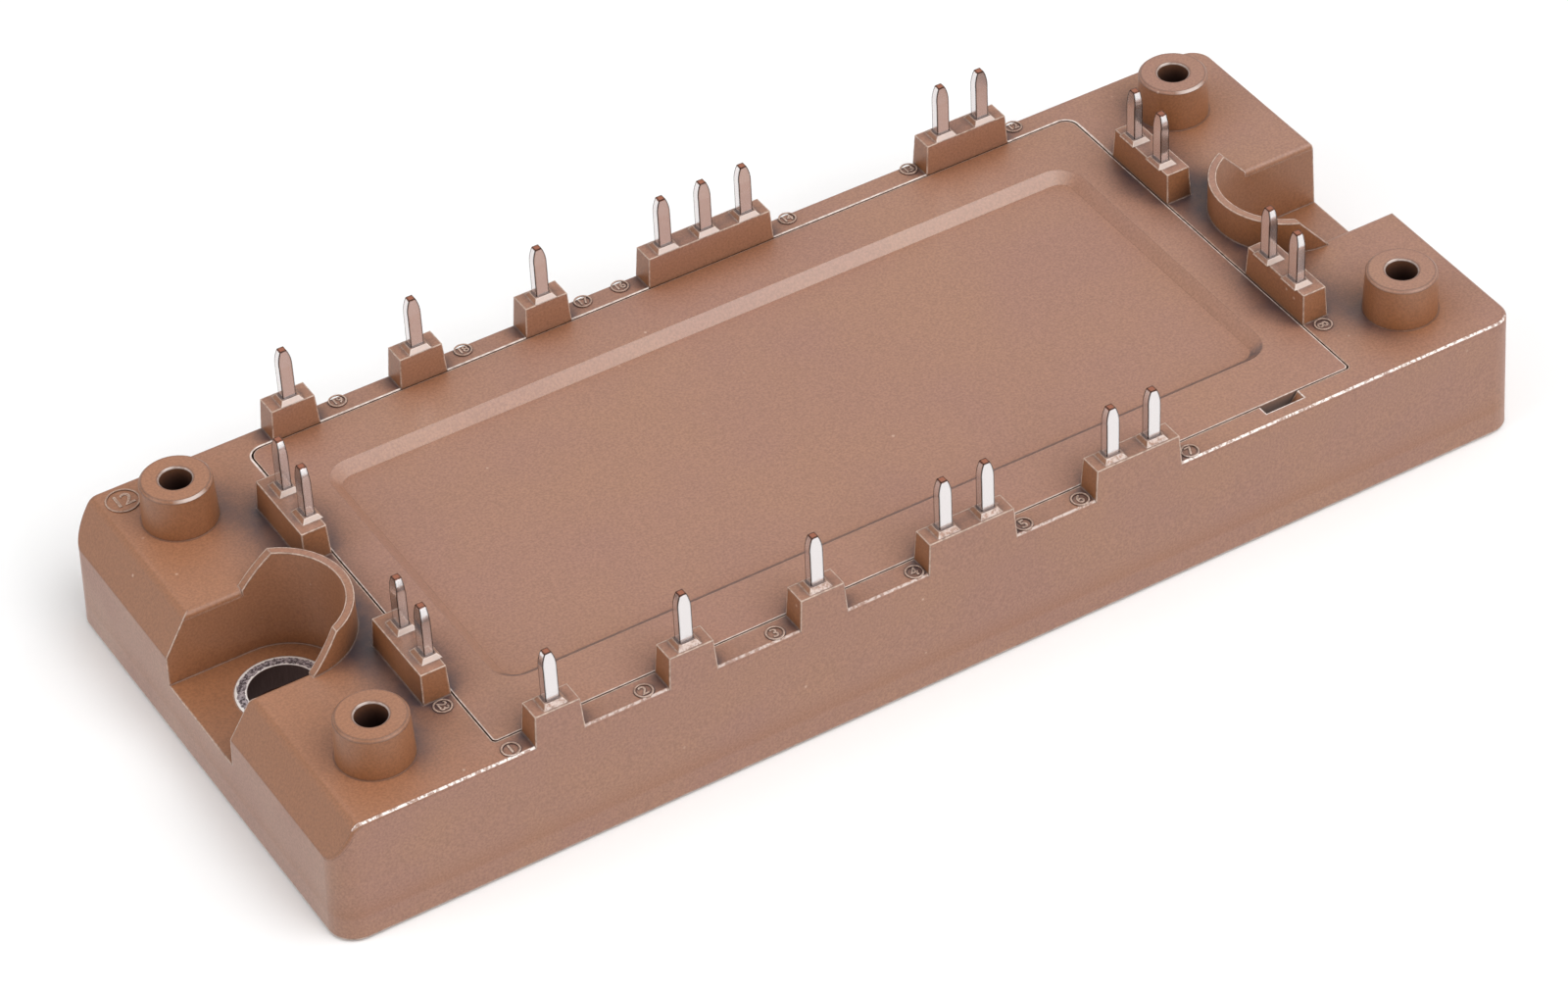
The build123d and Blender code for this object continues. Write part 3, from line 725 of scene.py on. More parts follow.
@dataclass(frozen=True)
class FrameHousing(MouldedPolyester):
    """The housing's polyester, with a painted highlight along the rounded front edge of its deck.

    It gives the eye a ragged painted highlight along the front edge of the deck, past the end
    blocks, a thin one between the blocks, thin painted highlights round the pry slot and the posts'
    holes, dark painted shade in those holes, and painted highlights on the front slopes of the rear
    terminals' collars. Lengths are in millimetres.
    """

    flash_y: float = -21.5  # the painted highlight along the front edge lies in front of this
    flash_left: float = -30.0  # where the left stretch ends
    flash_right: float = 30.0  # where the right stretch starts
    flash_thin: float = 0.45  # strength between the blocks
    flash_soft: float = 0.1
    flash_tilt: Pair = (0.45, 0.6)  # Z of the normal where that painted highlight starts and is full
    flash_level: Pair = (0.93, 0.98)  # and up to which it is full, and where it ends
    flash_front: Pair = (-0.25, -0.05)  # Y of the normal up to which it is full, and its end
    flash_below: Pair = (0.5, 0.4)  # below the deck, where that painted highlight starts and is full
    flash_size: float = 0.3
    flash_low: Pair = (0.42, 0.15)  # noise, and what is left of that painted highlight there
    flash_high: Pair = (0.55, 1.0)
    post_x: float = 46.5
    post_y: float = 16.0
    post_top: float = 15.0
    post_hole: float = 1.3
    post_foot: float = 3.2  # from a post's axis, just outside its foot
    post_fade: Pair = (0.1, 0.2)  # beyond the foot, where the warm painted shade ends and the edge highlights are whole
    post_brown: float = 0.45  # share of the warm painted shade on the posts' sides
    post_rubbed: float = 0.1  # what is left of the painted highlight lines on the posts
    # painted highlight round the posts' holes
    rim_strength: float = 0.38
    rim_line: Pair = (0.06, 0.12)  # beyond the hole, where its rim starts to fade and ends
    rim_below: Pair = (0.2, 0.12)  # below the post's top, where its rim starts and is full
    hole_edge: Pair = (0.04, 0.1)  # beyond the hole, where its dark painted shade starts to fade and ends
    hole_deep: Pair = (2.6, 0.97)  # below the post's top, and how dark the hole's painted shade is there
    hole_shallow: Pair = (0.3, 0.35)
    shelter: Pair = (3.5, 0.5)  # short of the posts' axes, where the painted shade starts to fade and ends
    wall_start: Pair = (4.0, 3.0)  # beyond the posts' axes, where the outer walls' painted reflection starts
    wall_soft: float = 0.3
    wall_turn: Pair = (0.4, 0.7)  # size of the normal along an axis, for a wall that faces it
    inner_bareness: float = 0.75  # how far the inner upright faces are free of the painted reflection
    front_haze: float = 0.42  # painted reflection on the fronts of the back row's blocks
    front_turn: Pair = (-0.9, -0.7)  # Y of the normal up to which that painted reflection is full, and its end
    front_start: Pair = (2.0, 2.5)  # beyond the posts' axes, where that painted reflection starts and is full
    collar_z: Pair = (13.92, 13.94)  # the foot of the terminals' collars, and just above it
    collar_turn: Pair = (-0.7, -0.6)  # the normal's part along an axis, up to which a slope counts
    collar_lean: Pair = (0.4, 0.5)  # Z of the normal, from a wall to such a slope
    collar_sheen: float = 0.45  # how strong the painted highlight is on the rear collars' front slopes
    collar_soft: float = 1.0  # how far behind the front posts' axes that painted highlight is full
    slot_middle: Pair = (31.8, -20.425)  # the pry slot's middle, and half its size
    slot_half: Pair = (1.8, 0.475)
    slot_line: Pair = (0.08, 0.13)  # beyond the slot, where its painted highlight starts to fade and ends
    slot_strength: float = 0.75

    def post_distance(self, tree: Tree) -> Socket:
        """Distance in plan from the nearest post's axis, in millimetres."""
        return self.plan_distance(tree, self.post_x, self.post_y)

    def hazed(self, tree: Tree, sky: Socket) -> Socket:
        """Share of the painted reflection, which upright faces have mostly on the housing's outer walls.

        Args:
            tree: The material's tree.
            sky: The open sky round the point.

        Returns:
            The share; a block's face that is flush with a long wall keeps the wall's painted reflection.
        """
        facing = self.facing(tree)
        limits = (self.post_x + self.wall_start[0], self.post_y + self.wall_start[1])
        inside = []
        sides = []
        for axis, limit in zip("XY", limits):
            away = self.from_middle(tree, axis)
            inside.append(self.fall(tree, away, limit, limit + self.wall_soft))
            turned = self.rise(tree, joined(tree, Sum.SIZE, facing[axis]), *self.wall_turn)
            sides.append(joined(tree, Sum.TIMES, inside[-1], turned))
        bare = joined(tree, Sum.MOST, joined(tree, Sum.TIMES, *inside), *sides)
        bare = joined(tree, Sum.TIMES, bare, self.upright(tree), self.inner_bareness)
        kept = joined(tree, Sum.MINUS, 1.0, bare)
        share = joined(tree, Sum.TIMES, super().hazed(tree, sky), kept)
        front = self.fall(tree, facing["Y"], *self.front_turn, self.front_haze)
        ends = (self.post_y + beyond for beyond in self.front_start)
        behind = self.rise(tree, self.place(tree)["Y"], *ends)
        return joined(tree, Sum.MOST, share, joined(tree, Sum.TIMES, front, behind))

    def collar_slope(self, tree: Tree, axis: str) -> Socket:
        """1 on the slopes of the terminals' collars that look down one axis, and 0 elsewhere.

        Args:
            tree: The material's tree.
            axis: The axis, X or Y.

        Returns:
            The share.
        """
        facing = self.facing(tree)
        looking = self.fall(tree, facing[axis], *self.collar_turn)
        leaning = self.rise(tree, facing["Z"], *self.collar_lean)
        high = self.rise(tree, self.place(tree)["Z"], *self.collar_z)
        return joined(tree, Sum.TIMES, looking, leaning, high)

    def inner(self, tree: Tree, sky: Socket) -> Socket:
        """Share of the warm painted shade, which the posts' and the collars' sides have as well.

        Args:
            tree: The material's tree.
            sky: The open sky round the point.

        Returns:
            The share.
        """
        distance = self.post_distance(tree)
        brown_end = self.post_foot + self.post_fade[0]
        post = self.fall(tree, distance, self.post_foot, brown_end, self.post_brown)
        brown = joined(tree, Sum.TIMES, post, self.upright(tree))
        return joined(tree, Sum.MOST, super().inner(tree, sky), brown, self.collar_slope(tree, "X"))

    def rubbed(self, tree: Tree, near: Socket, breaks: Socket) -> Socket:
        """Share of the painted edge highlight, of which the posts have little.

        Args:
            tree: The material's tree.
            near: The nearness of an edge.
            breaks: Noise that breaks the lines up.

        Returns:
            The share.
        """
        distance = self.post_distance(tree)
        foot, clear = (self.post_foot, self.post_rubbed), (self.post_foot + self.post_fade[1], 1.0)
        off_post = self.span(tree, distance, foot, clear)
        return joined(tree, Sum.TIMES, super().rubbed(tree, near, breaks), off_post)

    def scraped(self, tree: Tree, breaks: Socket) -> Socket:
        """Share of the whitest painted highlight: groove, front edge, rims and rear collars' slopes.

        Args:
            tree: The material's tree.
            breaks: Noise that breaks the lines up.

        Returns:
            The share.
        """
        place = self.place(tree)
        ends = (self.post_hole + beyond for beyond in self.rim_line)
        rim = self.fall(tree, self.post_distance(tree), *ends, self.rim_strength)
        high = self.rise(tree, place["Z"], *(self.post_top - drop for drop in self.rim_below))
        front_posts = -self.post_y
        rear_start = front_posts + self.collar_soft
        rear = self.rise(tree, place["Y"], front_posts, rear_start, self.collar_sheen)
        return joined(
            tree, Sum.MOST,
            super().scraped(tree, breaks),
            joined(tree, Sum.TIMES, rim, high, breaks),
            joined(tree, Sum.TIMES, self.slot_rim(tree), breaks),
            joined(tree, Sum.TIMES, self.collar_slope(tree, "Y"), rear),
            self.flash(tree),
        )

    def slot_rim(self, tree: Tree) -> Socket:
        """Share of the thin painted highlight line round the pry slot.

        Args:
            tree: The material's tree.

        Returns:
            The share.
        """
        distance = joined(tree, Sum.MOST, *self.beyond(tree, self.slot_middle, self.slot_half))
        line = self.fall(tree, distance, *self.slot_line, self.slot_strength)
        return joined(tree, Sum.TIMES, line, self.flat(tree))

    def flash(self, tree: Tree) -> Socket:
        """Share of the ragged painted highlight along the deck's rounded front edge.

        Args:
            tree: The material's tree.

        Returns:
            The share, full past the end blocks and thin between them.
        """
        place = self.place(tree)
        facing = self.facing(tree)
        left_end = (self.flash_left + self.flash_soft, self.flash_thin)
        right_start = (self.flash_right - self.flash_soft, self.flash_thin)
        left = self.span(tree, place["X"], (self.flash_left, 1.0), left_end)
        right = self.span(tree, place["X"], right_start, (self.flash_right, 1.0))
        ragged = self.grain(tree, self.flash_size, detail=5.0)
        return joined(
            tree, Sum.TIMES,
            joined(tree, Sum.MOST, left, right),
            self.rise(tree, facing["Z"], *self.flash_tilt),
            self.fall(tree, facing["Z"], *self.flash_level),
            self.fall(tree, facing["Y"], *self.flash_front),
            self.rise(tree, place["Z"], *(self.deck_z - drop for drop in self.flash_below)),
            self.fall(tree, place["Y"], self.flash_y, self.flash_y + self.flash_soft),
            self.span(tree, ragged, self.flash_low, self.flash_high),
        )

    def grime(self, tree: Tree) -> Socket:
        """Share of the painted shade, most between the posts and the blocks, and in the posts' holes.

        Args:
            tree: The material's tree.

        Returns:
            The share.
        """
        ends = (self.post_hole + beyond for beyond in self.hole_edge)
        inside = self.fall(tree, self.post_distance(tree), *ends)
        deep, shallow = ((self.post_top - drop, dark) for drop, dark in (self.hole_deep, self.hole_shallow))
        depth = self.span(tree, self.place(tree)["Z"], deep, shallow)
        ends = (self.post_x - short for short in self.shelter)
        sheltered = self.fall(tree, self.from_middle(tree, "X"), *ends)
        shade_near_walls = joined(tree, Sum.TIMES, super().grime(tree), sheltered)
        return joined(tree, Sum.MOST, shade_near_walls, joined(tree, Sum.TIMES, inside, depth))


@dataclass(frozen=True)
class TinnedCopper(Finish):
    """Copper strip, tin plated and then stamped, so the cut tips show bare copper.

    It gives the eye a bright white metal with faint streaks along the pin, dark painted shade
    lines down its edges and a copper-brown tip. Lengths are in millimetres.
    """

    tip_colour: str = "#984A1A"
    # painted shade: dark lines down the pin's edges
    shear_colour: str = "#3A2922"
    sheen_range: Pair = (-0.04, 0.08)
    tip_z: float = 18.72  # where the plating ends
    tip_fade: float = 0.04
    tip_share: float = 0.9
    tip_size: float = 0.3  # size of the ragged end of the plating
    tip_low: Pair = (0.2, -0.06)  # noise, and how far the end of the plating is moved there
    tip_high: Pair = (0.8, 0.06)
    streak_size: float = 0.16  # coarser than the real streaks, so that they show
    streaks_along: Triple = (1.0, 1.0, 0.1)
    edge_reach: float = 0.2
    edge_agreement: Pair = (0.998, 0.95)  # of the normals, where the dark painted shade line starts and is full
    bump_depth: float = 0.002

    def pattern(self, tree: Tree) -> dict[str, Socket]:
        """Streaks the plating, bares the tips and paints dark shade lines down the edges.

        Args:
            tree: The material's tree.

        Returns:
            What the shader's inputs get, by their names.
        """
        streaks = self.grain(tree, self.streak_size, stretch=self.streaks_along)
        ragged = self.span(tree, self.grain(tree, self.tip_size), self.tip_low, self.tip_high)
        height = joined(tree, Sum.PLUS, self.place(tree)["Z"], ragged)
        bare = self.rise(tree, height, self.tip_z, self.tip_z + self.tip_fade, self.tip_share)
        edge_line = self.rise(tree, self.edge_nearness(tree, self.edge_reach), *self.edge_agreement)
        return {
            "Base Color": layered(
                tree, self.colour, (bare, self.tip_colour), (edge_line, self.shear_colour)
            ),
            "Roughness": self.sheen(tree, streaks),
            "Normal": self.bumps(tree, streaks, self.bump_depth),
        }


@dataclass(frozen=True)
class PlatedMetal(Finish):
    """Rolled or turned metal under a thin bright plating.

    It gives the eye a grey metal with faint lines along the rolling direction, a few dull
    blotches, and dark painted shade in the screw holes. Lengths are in millimetres.
    """

    sheen_range: Pair = (-0.07, 0.09)
    line_size: float = 0.15  # coarser than the real rolling lines, so that they show
    lines_along: Triple = (0.06, 1.0, 1.0)
    dull_colour: str = "#8E8B86"
    dull_size: float = 4.0
    dull_noise: Pair = (0.45, 0.75)  # noise where a blotch starts, and where it is full
    dull_share: float = 0.25
    # painted shade: dark inside the screw holes
    bore_colour: str = "#401C13"
    bore_edge: Pair = (0.03, 0.06)  # beyond the bore, where its dark painted shade starts to fade and ends
    bore_share: float = 0.95
    bore_roughness: float = 0.3  # what the bore adds to the roughness
    bore_x: float = 46.5  # the screw holes' distance from the middle
    bore_radius: float = 2.75
    bump_depth: float = 0.003

    def pattern(self, tree: Tree) -> dict[str, Socket]:
        """Draws the rolling lines and dull blotches, and paints shade in the screw holes.

        Args:
            tree: The material's tree.

        Returns:
            What the shader's inputs get, by their names.
        """
        lines = self.grain(tree, self.line_size, stretch=self.lines_along)
        distance = self.plan_distance(tree, self.bore_x, 0.0)
        ends = (self.bore_radius + beyond for beyond in self.bore_edge)
        bore = self.fall(tree, distance, *ends, self.bore_share)
        dull = joined(tree, Sum.TIMES, bore, self.bore_roughness)
        return {
            "Base Color": layered(tree, self.worn(tree, distance), (bore, self.bore_colour)),
            "Metallic": joined(tree, Sum.MOST, bore, self.metallic),
            "Roughness": joined(tree, Sum.PLUS, self.sheen(tree, lines), dull),
            "Normal": self.bumps(tree, lines, self.bump_depth),
        }

    def worn(self, tree: Tree, distance: Socket) -> Socket:
        """Colour of the plating with its dull blotches.

        Args:
            tree: The material's tree.
            distance: Distance from the screw hole's axis in millimetres.

        Returns:
            The colour.
        """
        blotches = self.rise(tree, self.grain(tree, self.dull_size), *self.dull_noise, self.dull_share)
        return layered(tree, self.colour, (blotches, self.dull_colour))


@dataclass(frozen=True)
class RolledBush(PlatedMetal):
    """Zinc-plated steel strip, rolled into a bush and pressed flush into the moulding.

    It gives the eye a grey ring with dark and bright scratches between two ragged painted
    highlights along its rims. Lengths are in millimetres.
    """

    rim_width: float = 0.16
    rim_soft: float = 0.04
    rim_wander: float = 0.1  # how far the rims' ragged sides wander
    rim_wander_size: float = 0.4
    outer_radius: float = 3.75
    # painted highlight along the bush's inner and outer rims
    rim_colour: str = "#FFFDFB"
    scratch_colour: str = "#4E454A"
    scratch_size: float = 0.22
    scratch_noise: Pair = (0.42, 0.58)  # noise up to which it is dark, and where it is bright

    def worn(self, tree: Tree, distance: Socket) -> Socket:
        """Colour of the scratched face between its painted rim highlights.

        Args:
            tree: The material's tree.
            distance: Distance from the bush's axis in millimetres.

        Returns:
            The colour.
        """
        scratches = self.grain(tree, self.scratch_size, detail=4.0)
        bright = self.rise(tree, scratches, *self.scratch_noise)
        noise = self.grain(tree, self.rim_wander_size, detail=3.0)
        ragged = self.varied(tree, noise, -self.rim_wander, self.rim_wander)
        distance = joined(tree, Sum.PLUS, distance, ragged)
        inner_end = self.bore_radius + self.rim_width
        outer_start = self.outer_radius - self.rim_width
        inner_rim = self.fall(tree, distance, inner_end, inner_end + self.rim_soft)
        outer_rim = self.rise(tree, distance, outer_start - self.rim_soft, outer_start)
        rims = joined(tree, Sum.MOST, inner_rim, outer_rim)
        return layered(tree, self.scratch_colour, (bright, self.colour), (rims, self.rim_colour))


@dataclass(frozen=True)
class FineGrained(Finish):
    """A fired, etched, cast or drawn surface with one fine grain.

    It gives the eye a colour that varies a little, and a surface that is not quite smooth.
    """

    second_colour: str = "#808080"
    grain_size: float = 0.3  # mm, coarser than the real grains, so that they show
    bump_depth: float = 0.003  # mm

    def pattern(self, tree: Tree) -> dict[str, Socket]:
        """Mixes the two colours by the grain, and bumps the surface with it.

        Args:
            tree: The material's tree.

        Returns:
            What the shader's inputs get, by their names.
        """
        grain = self.grain(tree, self.grain_size)
        share = self.rise(tree, grain, *NOISE_CORE)
        return {
            "Base Color": layered(tree, self.colour, (share, self.second_colour)),
            "Normal": self.bumps(tree, grain, self.bump_depth),
        }


LID_LOW, LID_HIGH = (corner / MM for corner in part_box("lid"))
LID_OUTLINE = {
    "groove_middle": tuple(((LID_LOW + LID_HIGH) / 2)[:2]),
    "groove_half": tuple(((LID_HIGH - LID_LOW) / 2)[:2]),
    "deck_z": LID_HIGH.z,
}
MOUNTS = {mount["name"]: mount for mount in frame["record"]["mounts"]}
POSTS = MOUNTS["post_holes"]
POST_SIZES = {
    "post_x": POSTS["dims"]["spacing_x_mm"] / 2,
    "post_y": POSTS["dims"]["spacing_y_mm"] / 2,
    "post_top": POSTS["pos_m"][2] / MM,
    "post_hole": POSTS["dims"]["hole_r_mm"],
}
SCREW_HOLE = MOUNTS["screw_hole_right"]
BORE_SIZES = {"bore_x": SCREW_HOLE["pos_m"][0] / MM, "bore_radius": SCREW_HOLE["dims"]["r_mm"]}
BUSH_LOW, BUSH_HIGH = (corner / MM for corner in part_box("bush_right"))
END_BLOCK = 1.9  # mm, from an end terminal's middle to the end of its block
FRONT_HIGHLIGHT_STRIP = 1.0  # mm, how deep the strip is that holds the front edge's painted highlight
FRONT_HIGHLIGHT_ENDS = {
    "flash_y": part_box("housing")[0].y / MM + FRONT_HIGHLIGHT_STRIP,
    "flash_left": sum(corner.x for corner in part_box("terminal_01")) / 2 / MM - END_BLOCK,
    "flash_right": sum(corner.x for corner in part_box("terminal_07")) / 2 / MM + END_BLOCK,
}

FINISHES = {
    "housing": FrameHousing(
        "moulded_polyester_housing", "#92603F", 0.42, ior=1.56, rounding=0.13, bare_end=-48.5,
        groove_line=(0.14, 0.3), groove_front=0.0, groove_back=0.85,
        **FRONT_HIGHLIGHT_ENDS, **POST_SIZES, **LID_OUTLINE,
    ),
    "lid": DishedLid(
        "moulded_polyester_lid", "#936142", 0.43, ior=1.56, rounding=0.1, cloud_size=13.0,
        edge_start=0.935, border_start=0.945, groove_line=(-0.1, 0.02), groove_back=0.0,
        **LID_OUTLINE,
    ),
    "terminal": TinnedCopper(
        "tin_plated_stamped_copper", "#EEE8E7", 0.14, metallic=0.88, rounding=0.08,
    ),
    "base_plate": PlatedMetal(
        "nickel_plated_rolled_copper", "#C9C4BA", 0.3, metallic=1.0, rounding=0.2, **BORE_SIZES,
    ),
    "bush": RolledBush(
        "zinc_plated_rolled_steel", "#C4BBC0", 0.4, metallic=0.5, rounding=0.12,
        lines_along=(1.0, 1.0, 0.1), outer_radius=(BUSH_HIGH.x - BUSH_LOW.x) / 2, **BORE_SIZES,
    ),
    # An even pale grey with a soft gloss, like firm rubber.
    "adhesive_seal": FineGrained(
        "cured_silicone_adhesive", "#D8D6D0", 0.5, ior=1.41, second_colour="#CFCDC8",
    ),
    # A dull silver with slightly darker crystals.
    "substrate_solder": FineGrained(
        "reflowed_solder", "#B4B4B2", 0.35, metallic=1.0, second_colour="#9C9C9A",
    ),
    # A satin pinkish orange, a little darker where the etch bit deeper.
    "copper": FineGrained(
        "etched_bare_copper", "#C98C66", 0.33, metallic=1.0, second_colour="#B87A55",
    ),
    # A matt warm white, like unglazed china.
    "ceramic": FineGrained("fired_alumina", "#E9E7DF", 0.55, ior=1.76, second_colour="#DFDCD2"),
    # A cool grey mirror, a little clouded.
    "chips": FineGrained(
        "aluminised_silicon", "#9A9CA0", 0.3, metallic=1.0, second_colour="#86888C",
    ),
    # A dark grey that is neither matt nor glossy.
    "thermistor": FineGrained("sintered_thermistor_ceramic", "#3B3A3C", 0.5, second_colour="#4A494B"),
    # A clean light grey metal.
    "bond_wires": FineGrained(
        "drawn_aluminium_wire", "#D3D4D6", 0.28, metallic=1.0, second_colour="#C4C5C8",
    ),
}

# The nodes whose finish goes by another name than their own; the others keep theirs.
SHARED_FINISHES = {
    "bush_left": "bush",
    "bush_right": "bush",
    "lower_copper": "copper",
    "ceramic_left": "ceramic",
    "ceramic_right": "ceramic",
    "copper_tracks_left": "copper",
    "copper_tracks_right": "copper",
    "igbt_chips": "chips",
    "diode_chips": "chips",
    "rectifier_chips": "chips",
}


def select_only(piece: bpy.types.Object) -> None:
    """Selects one piece alone and makes it the active one.

    Args:
        piece: The piece.
    """
    bpy.ops.object.select_all(action="DESELECT")
    bpy.context.view_layer.objects.active = piece
    piece.select_set(True)


@contextmanager
def editing(piece: bpy.types.Object) -> Iterator[bmesh.types.BMesh]:
    """Opens a piece in edit mode with nothing selected, and closes it again.

    Args:
        piece: The piece to edit.

    Yields:
        The piece's mesh in edit mode.
    """
    select_only(piece)
    bpy.ops.object.mode_set(mode="EDIT")
    bpy.ops.mesh.select_all(action="DESELECT")
    yield bmesh.from_edit_mesh(piece.data)
    bpy.ops.object.mode_set(mode="OBJECT")


def settle(piece: bpy.types.Object) -> None:
    """Puts a piece's place into its mesh, so its object is at the origin, unturned and unscaled."""
    select_only(piece)
    bpy.ops.object.transform_apply(location=True, rotation=True, scale=True)


def apply_modifier(piece: bpy.types.Object, kind: str, **settings: Any) -> None:
    """Adds a modifier to a piece and applies it.

    Args:
        piece: The piece.
        kind: The modifier's type name.
        **settings: The modifier's own properties.
    """
    modifier = piece.modifiers.new(kind.lower(), kind)
    for name, value in settings.items():
        setattr(modifier, name, value)
    select_only(piece)
    bpy.ops.object.modifier_apply(modifier=modifier.name)


class Row(Enum):
    """The four rows of terminals, each by the direction from the middle to it along X and Y."""

    FRONT = (0, -1)
    RIGHT = (1, 0)
    BACK = (0, 1)
    LEFT = (-1, 0)

    @property
    def turn(self) -> float:
        """Turn of the numbers beside the row, in degrees; the long rows' stand upright."""
        return 90.0 * self.value[0]


@dataclass
class MouldedNumbers:
    """Terminal numbers raised on the deck, each in a raised ring.

    Lengths are in millimetres. The shifts are measured from each terminal's own place.
    """

    material: bpy.types.Material
    ring_radius: float = 0.76
    line_width: float = 0.14
    height: float = 0.1
    edge_bevel: float = 0.02
    digit_height: float = 0.74
    digit_spacing: float = 0.88
    stroke_gain: float = 0.02  # how much each digit's outline is let out
    curve_steps: int = 4  # straight lines for each stretch of a digit's curves
    ring_vertices: int = 48
    single_gain: float = 1.25  # how much larger a lone digit is than each of a pair
    pin_half: float = 0.4
    cavity_number: int = 12
    cavity_gain: float = 1.85  # how much larger the cavity's number is than the terminals'
    cavity_place: Pair = (-49.5, 20.1)

    def shifts(self) -> dict[int, tuple[Row, float, float]]:
        """Where each numbered ring stands.

        Returns:
            Number to its terminal's row, and to the ring's shift from the terminal along X and Y.
        """
        front = {1: -3.75, 2: -3.84, 3: -3.86, 4: -2.89, 5: 3.2, 6: -3.02, 7: 3.41}
        back = {12: 3.63, 13: -2.92, 14: 4.32, 16: -3.98, 17: 3.98, 18: 4.35, 19: 4.41}
        places = {number: (Row.FRONT, along, -0.32) for number, along in front.items()}
        places |= {number: (Row.BACK, along, 0.52) for number, along in back.items()}
        places[8] = (Row.RIGHT, 0.61, -2.95)
        places[23] = (Row.LEFT, -0.44, -2.97)
        return places

    def pin_centre(self, row: Row, number: int) -> Vector:
        """The pin's own place, which is at the outer side of its terminal's box.

        Args:
            row: The terminal's row.
            number: The terminal's number.

        Returns:
            The pin's centre.
        """
        low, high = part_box(f"terminal_{number:02d}")
        outward = Vector((*row.value, 0))
        reach = abs((high - low).dot(outward)) / 2 - self.pin_half * MM
        return (low + high) / 2 + outward * reach

    def ring(self, name: str, centre: Vector, radius: float) -> bpy.types.Object:
        """A flat raised ring on the deck.

        Args:
            name: The piece's name.
            centre: The ring's centre at deck height, in metres.
            radius: Its outer radius in millimetres.

        Returns:
            The ring.
        """
        bpy.ops.object.select_all(action="DESELECT")
        bpy.ops.mesh.primitive_circle_add(
            vertices=self.ring_vertices, radius=radius * MM, fill_type="NGON", location=centre
        )
        piece = bpy.context.active_object
        piece.name = name
        with editing(piece):
            bpy.ops.mesh.select_all(action="SELECT")
            bpy.ops.mesh.inset(thickness=self.line_width * MM)
            bpy.ops.mesh.delete(type="FACE")
        settle(piece)
        apply_modifier(piece, "SOLIDIFY", thickness=self.height * MM, offset=1.0)
        apply_modifier(piece, "BEVEL", width=self.edge_bevel * MM, segments=1)
        return piece

    def digits(self, number: int, centre: Vector, turn: float, size: float) -> bpy.types.Object:
        """The raised digits of one number.

        Args:
            number: The number to write.
            centre: Its middle at deck height, in metres.
            turn: Its turn in degrees.
            size: Height of its digits in millimetres.

        Returns:
            The digits as one mesh.
        """
        bpy.ops.object.select_all(action="DESELECT")
        bpy.ops.object.text_add(location=(0, 0, 0))
        text = bpy.context.active_object.data
        text.body = str(number)
        text.align_x = "CENTER"
        text.align_y = "CENTER"
        text.size = size * MM / DIGIT_SHARE
        text.space_character = self.digit_spacing
        text.offset = self.stroke_gain * MM
        text.extrude = self.height * MM / 2
        text.resolution_u = self.curve_steps
        bpy.ops.object.convert(target="MESH")
        piece = bpy.context.active_object
        piece.data.transform(Matrix.Translation(centre) @ Matrix.Rotation(math.radians(turn), 4, "Z"))
        return piece

    def numbered_ring(
        self, name: str, number: int, centre: Vector, turn: float = 0.0, gain: float = 1.0
    ) -> bpy.types.Object:
        """A ring and the digits inside it, as one piece on the housing.

        Args:
            name: The piece's name.
            number: The number inside the ring.
            centre: The ring's centre at deck height, in metres.
            turn: Turn of the digits in degrees.
            gain: How much larger the whole is than a terminal's ring.

        Returns:
            The joined piece.
        """
        piece = self.ring(name, centre, gain * self.ring_radius)
        lone = self.single_gain if number < 10 else 1.0
        digits = self.digits(number, centre, turn, gain * self.digit_height * lone)
        select_only(piece)
        digits.select_set(True)
        bpy.ops.object.join()
        piece.data.materials.clear()
        piece.data.materials.append(self.material)
        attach(piece, "root")
        return piece

    def build(self) -> list[bpy.types.Object]:
        """Makes every number and rides it on the housing.

        Returns:
            The numbers.
        """
        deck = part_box("lid")[1].z
        made = []
        for number, (row, shift_x, shift_y) in self.shifts().items():
            pin = self.pin_centre(row, number)
            centre = Vector((pin.x + shift_x * MM, pin.y + shift_y * MM, deck))
            made.append(self.numbered_ring(f"moulded_number_{number:02d}", number, centre, row.turn))
        x, y = self.cavity_place
        centre = Vector((x * MM, y * MM, deck))
        made.append(
            self.numbered_ring("moulded_cavity_ring", self.cavity_number, centre, gain=self.cavity_gain)
        )
        return made


@dataclass(frozen=True)
class Softbox:
    """A square soft lamp that faces the object. Lengths are in metres."""

    name: str
    place: Triple
    size: float
    radiance: float  # how bright its face looks, where 1 is white

    def build(self) -> bpy.types.Object:
        """Makes the lamp.

        Returns:
            The lamp.
        """
        light = bpy.data.lights.new(self.name, "AREA")
        light.size = self.size
        light.energy = self.radiance * math.pi * self.size**2
        lamp = bpy.data.objects.new(self.name, light)
        bpy.context.scene.collection.objects.link(lamp)
        lamp.location = self.place
        lamp.rotation_euler = Vector(self.place).to_track_quat("Z", "Y").to_euler()
        return lamp


